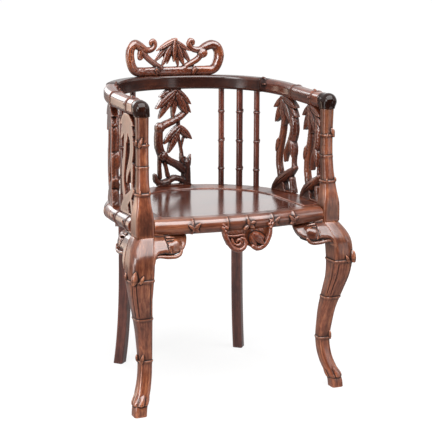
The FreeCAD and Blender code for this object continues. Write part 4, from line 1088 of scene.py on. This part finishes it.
def rear_leg_piece():
    """Square leg with its corners taken off, swept back towards the foot."""
    angle = math.radians(REAR_ANGLE)
    clay = Clay((0, -17, -17), (RAIL_FLOOR, 17, 17), 1.5)

    def stick(s, u, v):
        square = round_rectangle(u, v, REAR_HALF, REAR_HALF, 3.0)
        corners = (np.abs(u) + np.abs(v)) * 0.7071 - REAR_CORNER
        return between(np.maximum(square, corners), s, 0, RAIL_FLOOR)

    clay.whole(stick)

    def bend(p):
        sweep = REAR_SWEEP * np.clip(1 - p[:, 0] / RAIL_FLOOR, 0, 1) ** 3.5
        radius = BACK_RADIUS + 1 + sweep + p[:, 1]
        x = radius * math.cos(angle) - p[:, 2] * math.sin(angle)
        y = SIDE_RUN + radius * math.sin(angle) + p[:, 2] * math.cos(angle)
        return np.c_[x, y, p[:, 0]]

    finish_piece(clay, "rear_leg_right", bend, 0, rear_wood)


# Seat frame

def front_rail_piece():
    length = FRONT_RADIUS * math.asin(FRONT_SPAN / FRONT_RADIUS)
    places = (-135.0, -48.0, 4.0, 72.0, 135.0)
    sprigs = ((-135, 1), (72, 1), (135, -1))
    middle_leaves = (((6, 450), (20, 441)), ((8, 446), (2, 464)), ((4, 448), (-9, 440)),
                     ((10, 452), (22, 458)))
    clay = Clay((-length, -6, RAIL_FLOOR), (length, FRONT_DEPTH, SEAT), 1.1)

    def rail(s, u, z):
        body = nose(u, z, node_line(s, places, 2.2))
        return np.maximum(between(body, s, -length, length), u - FRONT_DEPTH)

    clay.whole(rail)
    for place, lean in sprigs:
        clay.join(leaf((place, 1, 444), (place + lean * 17, -2, 463), 11, 4.5, arch=1), 0.5)
        clay.join(leaf((place - lean * 1, 1, 452), (place + lean * 14, -1, 441), 10, 4.5, arch=1), 0.5)
        clay.join(leaf((place + lean * 2, 1, 449), (place - lean * 11, -1, 459), 8, 4, arch=1), 0.5)
    for at, tip in middle_leaves:
        clay.join(leaf((at[0], 1, at[1]), (tip[0], -2, tip[1]), 10, 5, arch=1), 0.5)
    clay.cut(box_shape((-300, 35, GROOVE_FLOOR), (300, 60, GROOVE_TOP)))
    # Painted shade in the node grooves
    clay.paint_shade(node_groove_shade(places))
    # Painted shade on the ground around the sprigs and the leaves in the middle
    for place, lean in (*sprigs, (8, 0)):
        clay.paint_shade(lambda s, u, z, at=place + 4 * lean: 0.75 * (nose(u, z, 0.0) < 0.7)
                 * bell(s, at, 15) * bell(z, 452, 13))

    def bend(p):
        angle = p[:, 0] / FRONT_RADIUS
        radius = FRONT_RADIUS - p[:, 1]
        return np.c_[radius * np.sin(angle), FRONT_CENTRE - radius * np.cos(angle), p[:, 2]]

    finish_piece(clay, "front_seat_rail", bend, 0, rail_wood, both=False)


def side_rail_piece():
    outer = SPREAD + OVERHANG
    clay = Clay((180, -48, RAIL_FLOOR), (outer + 6, SIDE_RUN, SEAT), 1.3)
    places = (62.0, 137.0)

    def rail(x, y, z):
        edge = outer - 2 * y / SIDE_RUN
        body = nose(edge - x, z, node_line(y, places, 2.2))
        inside = edge - x - OVERHANG - FRAME_INSIDE
        front = np.hypot(x, y - FRONT_CENTRE) - (FRONT_RADIUS - FRONT_DEPTH)
        return np.maximum(np.maximum(body, inside), np.maximum(front, y - SIDE_RUN))

    clay.whole(rail)
    clay.cut(box_shape((SPREAD - BLOCK / 2, -80, 300), (400, BLOCK / 2, 600)))
    for place, root, tip in zip(places, (446, 450), (460, 462)):
        clay.join(leaf((269, place, root), (272, place + 15, tip), 9, 4, (1, 0, 0), 1), 0.8)
    # Painted shade in the node grooves
    clay.paint_shade(node_groove_shade(places, axis=1))
    finish_piece(clay, "side_seat_rail_right", as_drawn, 1, hardwood)


def back_seat_rail_piece():
    reach = BACK_RADIUS + OVERHANG
    length = reach * math.pi / 2
    clay = Clay((0, -5, RAIL_FLOOR), (length, OVERHANG + FRAME_INSIDE, SEAT), 1.6)
    places = [length * s for s in (0.14, 0.38, 0.62, 0.86)]

    def rail(s, u, z):
        body = nose(u, z, node_line(s, places, 2.2))
        return np.maximum(between(body, s, 0, length), u - OVERHANG - FRAME_INSIDE)

    clay.whole(rail)
    clay.cut(box_shape((-10, OVERHANG + FRAME_INSIDE - 8, GROOVE_FLOOR), (length + 10, 120, GROOVE_TOP)))
    # Painted shade in the node grooves
    clay.paint_shade(node_groove_shade(places))

    def bend(p):
        angle = p[:, 0] / reach
        radius = reach - p[:, 1]
        return np.c_[radius * np.cos(angle), SIDE_RUN + radius * np.sin(angle), p[:, 2]]

    finish_piece(clay, "back_seat_rail_right", bend, 0, hardwood)


post_piece()
elbow_piece()
arm_piece()
back_rail_piece()
for number, (degrees, radius) in enumerate(SPINDLES):
    spindle_piece(number, degrees, radius)
back_splat_piece()
for name, place in ARM_SPLATS:
    arm_splat_piece(name, place)
crest_piece()
front_leg_piece()
brackets()
pendant_piece()
rear_leg_piece()
front_rail_piece()
side_rail_piece()
back_seat_rail_piece()

# CAD nodes that stay as they are

seat_wood = wood("seat_board", (0.03, 0.008, 0.005), (0.08, 0.02, 0.011), (0.15, 0.045, 0.022),
                 rough=0.14, carved=False)
inner_wood = wood("inner_board", (0.10, 0.04, 0.02), (0.2, 0.09, 0.045), (0.3, 0.15, 0.08), rough=0.5,
                  coat=0.0, carved=False)
plain_wood = wood("plain_board", *RED, carved=False)
for name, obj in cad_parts.items():
    chosen = seat_wood if name == "seat_panel" else plain_wood
    if name.startswith("panel_batten") or name.endswith("dowels"):
        chosen = inner_wood
    obj.data.materials.clear()
    obj.data.materials.append(chosen)


# Floor and room: white to the camera, dim in reflections where the photographer would stand

FLOOR_SHADE, FLOOR_NEAR, FLOOR_BOUNCE, FLOOR_CLOSE, FLOOR_BACK = 0.16, 0.86, 0.62, 0.4, 0.4
ROOM_SOFT, ROOM_FRONT, ROOM_BACK = 0.1, 0.015, 1.0
FLOOR_HALF = 90
TO_THE_BACK = (-0.12, 0.99, 0.0)


def white_but_front(nodes, direction, front, rest):
    """Strength by direction: white behind and beside the chair, dim where the room's front would be."""
    facing = nodes.add("VectorMath", {0: direction, 1: TO_THE_BACK}, operation="DOT_PRODUCT")["Value"]
    return nodes.smooth_step(facing, -0.8, -0.1, front, rest)


def by_ray(nodes, plain, glossy, seen, output):
    """Plain shader for scattered light, one for reflections and one for the camera."""
    path = nodes.add("LightPath")
    for name, shader in (("Is Glossy Ray", glossy), ("Is Camera Ray", seen)):
        plain = nodes.add("MixShader", {0: path[name], 1: plain, 2: shader})[0]
    nodes.feed(nodes.tree.nodes[output].inputs["Surface"], plain)


def floor_paper():
    paper = bpy.data.materials.new("pale_floor")
    paper.use_nodes = True
    nodes = Nodes(paper.node_tree)
    ground = paper.node_tree.nodes["Principled BSDF"]
    ground.inputs["Base Color"].default_value = (FLOOR_BOUNCE, FLOOR_BOUNCE, FLOOR_BOUNCE, 1)
    ground.inputs["Roughness"].default_value = 0.9
    ground.inputs["Specular IOR Level"].default_value = 0.0
    place = nodes.add("NewGeometry")["Position"]
    distance = nodes.add("VectorMath", {0: place}, operation="LENGTH")["Value"]
    outward = nodes.add("VectorMath", {0: place}, operation="NORMALIZE")["Vector"]
    shadow = nodes.add("BsdfDiffuse", {"Color": (FLOOR_SHADE, FLOOR_SHADE, FLOOR_SHADE, 1)})[0]
    white = nodes.add("Emission", {"Strength": nodes.smooth_step(distance, 0.35, 1.5, FLOOR_NEAR, 1.0)})[0]
    seen = nodes.add("AddShader", {0: shadow, 1: white})[0]
    close = nodes.smooth_step(distance, 0.9, 2.1, FLOOR_CLOSE, 0.0)
    far = white_but_front(nodes, outward, ROOM_FRONT, FLOOR_BACK)
    mirrored = nodes.add("Emission", {"Strength": nodes.math("MAXIMUM", far, close)})[0]
    by_ray(nodes, ground.outputs[0], mirrored, seen, "Material Output")
    return paper


def lay_floor():
    mesh = bpy.data.meshes.new("floor")
    corners = [(FLOOR_HALF * x, FLOOR_HALF * y, 0) for x, y in ((-1, -1), (1, -1), (1, 1), (-1, 1))]
    mesh.from_pydata(corners, [], [(0, 1, 2, 3)])
    mesh.materials.append(floor_paper())
    floor = bpy.data.objects.new("floor", mesh)
    bpy.context.scene.collection.objects.link(floor)


def light_room():
    world = bpy.data.worlds.new("studio")
    bpy.context.scene.world = world
    world.use_nodes = True
    nodes = Nodes(world.node_tree)
    soft = world.node_tree.nodes["Background"]
    soft.inputs["Color"].default_value = (1, 1, 1, 1)
    soft.inputs["Strength"].default_value = ROOM_SOFT
    strength = white_but_front(nodes, nodes.add("TexCoord")["Generated"], ROOM_FRONT, ROOM_BACK)
    mirrored = nodes.add("Background", {"Color": (1, 1, 1, 1), "Strength": strength})[0]
    seen = nodes.add("Background", {"Color": (1, 1, 1, 1), "Strength": 1.0})[0]
    by_ray(nodes, soft.outputs[0], mirrored, seen, "World Output")


def set_pose(obj, right, up, back, place):
    obj.matrix_world = Matrix([[right[i], up[i], back[i], place[i]] for i in range(3)] + [[0, 0, 0, 1]])


def softbox(name, place, aim, size, power, tint=WHITE):
    lamp = bpy.data.lights.new(name, "AREA")
    lamp.color = tint
    lamp.shape = "RECTANGLE"
    lamp.size, lamp.size_y = size
    lamp.energy = power
    obj = bpy.data.objects.new(name, lamp)
    bpy.context.scene.collection.objects.link(obj)
    back = np.array(place, float) - np.array(aim, float)
    back /= np.linalg.norm(back)
    side = np.cross((0, 0, 1), back)
    side /= np.linalg.norm(side)
    set_pose(obj, side, np.cross(back, side), back, place)


lay_floor()
light_room()
softbox("top", (0.0, -1.1, 2.3), (0, 0, 0.5), (2.9, 1.9), 124)
softbox("key_left", (-2.4, -1.6, 1.6), (0, 0, 0.5), (0.9, 1.3), 42)
softbox("edge_left", (-1.95, -0.75, 0.4), (0, 0, 0.4), (0.5, 0.8), 6)
softbox("rim_left", (-1.38, 1.5, 0.42), (-0.3, 0.1, 0.45), (1.2, 0.84), 10, (1.0, 0.75, 0.58))
softbox("low_right", (1.05, -1.5, 0.36), (0, 0, 0.4), (0.7, 0.7), 2.6)
softbox("back_left", (-0.65, 2.3, 1.5), (-0.26, 0.1, 0.73), (1.3, 0.8), 18)
softbox("fill_right", (2.4, -1.8, 1.6), (0, 0, 0.5), (0.7, 1.2), 8)


# Camera, as fitted to the photo; its side and the focal length are in the photo's pixels

PHOTO_SIDE, FOCAL_LENGTH = 432.0, 1150.0
TURN, TILT, ROLL = (math.radians(angle) for angle in (23.87, 11.15, 0.1))
EYE = (-1.1582, -2.4827 + SHIFT / 1000, 1.003)
camera_data = bpy.data.cameras.new("camera")
camera_data.sensor_width = 36.0
camera_data.lens = camera_data.sensor_width * FOCAL_LENGTH / PHOTO_SIDE
camera = bpy.data.objects.new("camera", camera_data)
bpy.context.scene.collection.objects.link(camera)
bpy.context.scene.camera = camera
forward = np.array([math.sin(TURN) * math.cos(TILT), math.cos(TURN) * math.cos(TILT), -math.sin(TILT)])
level = np.array([math.cos(TURN), -math.sin(TURN), 0.0])
upright = np.cross(level, forward)
right = math.cos(ROLL) * level + math.sin(ROLL) * upright
up = math.cos(ROLL) * upright - math.sin(ROLL) * level
set_pose(camera, right, up, -forward, EYE)

bpy.context.scene.view_settings.view_transform = "Standard"
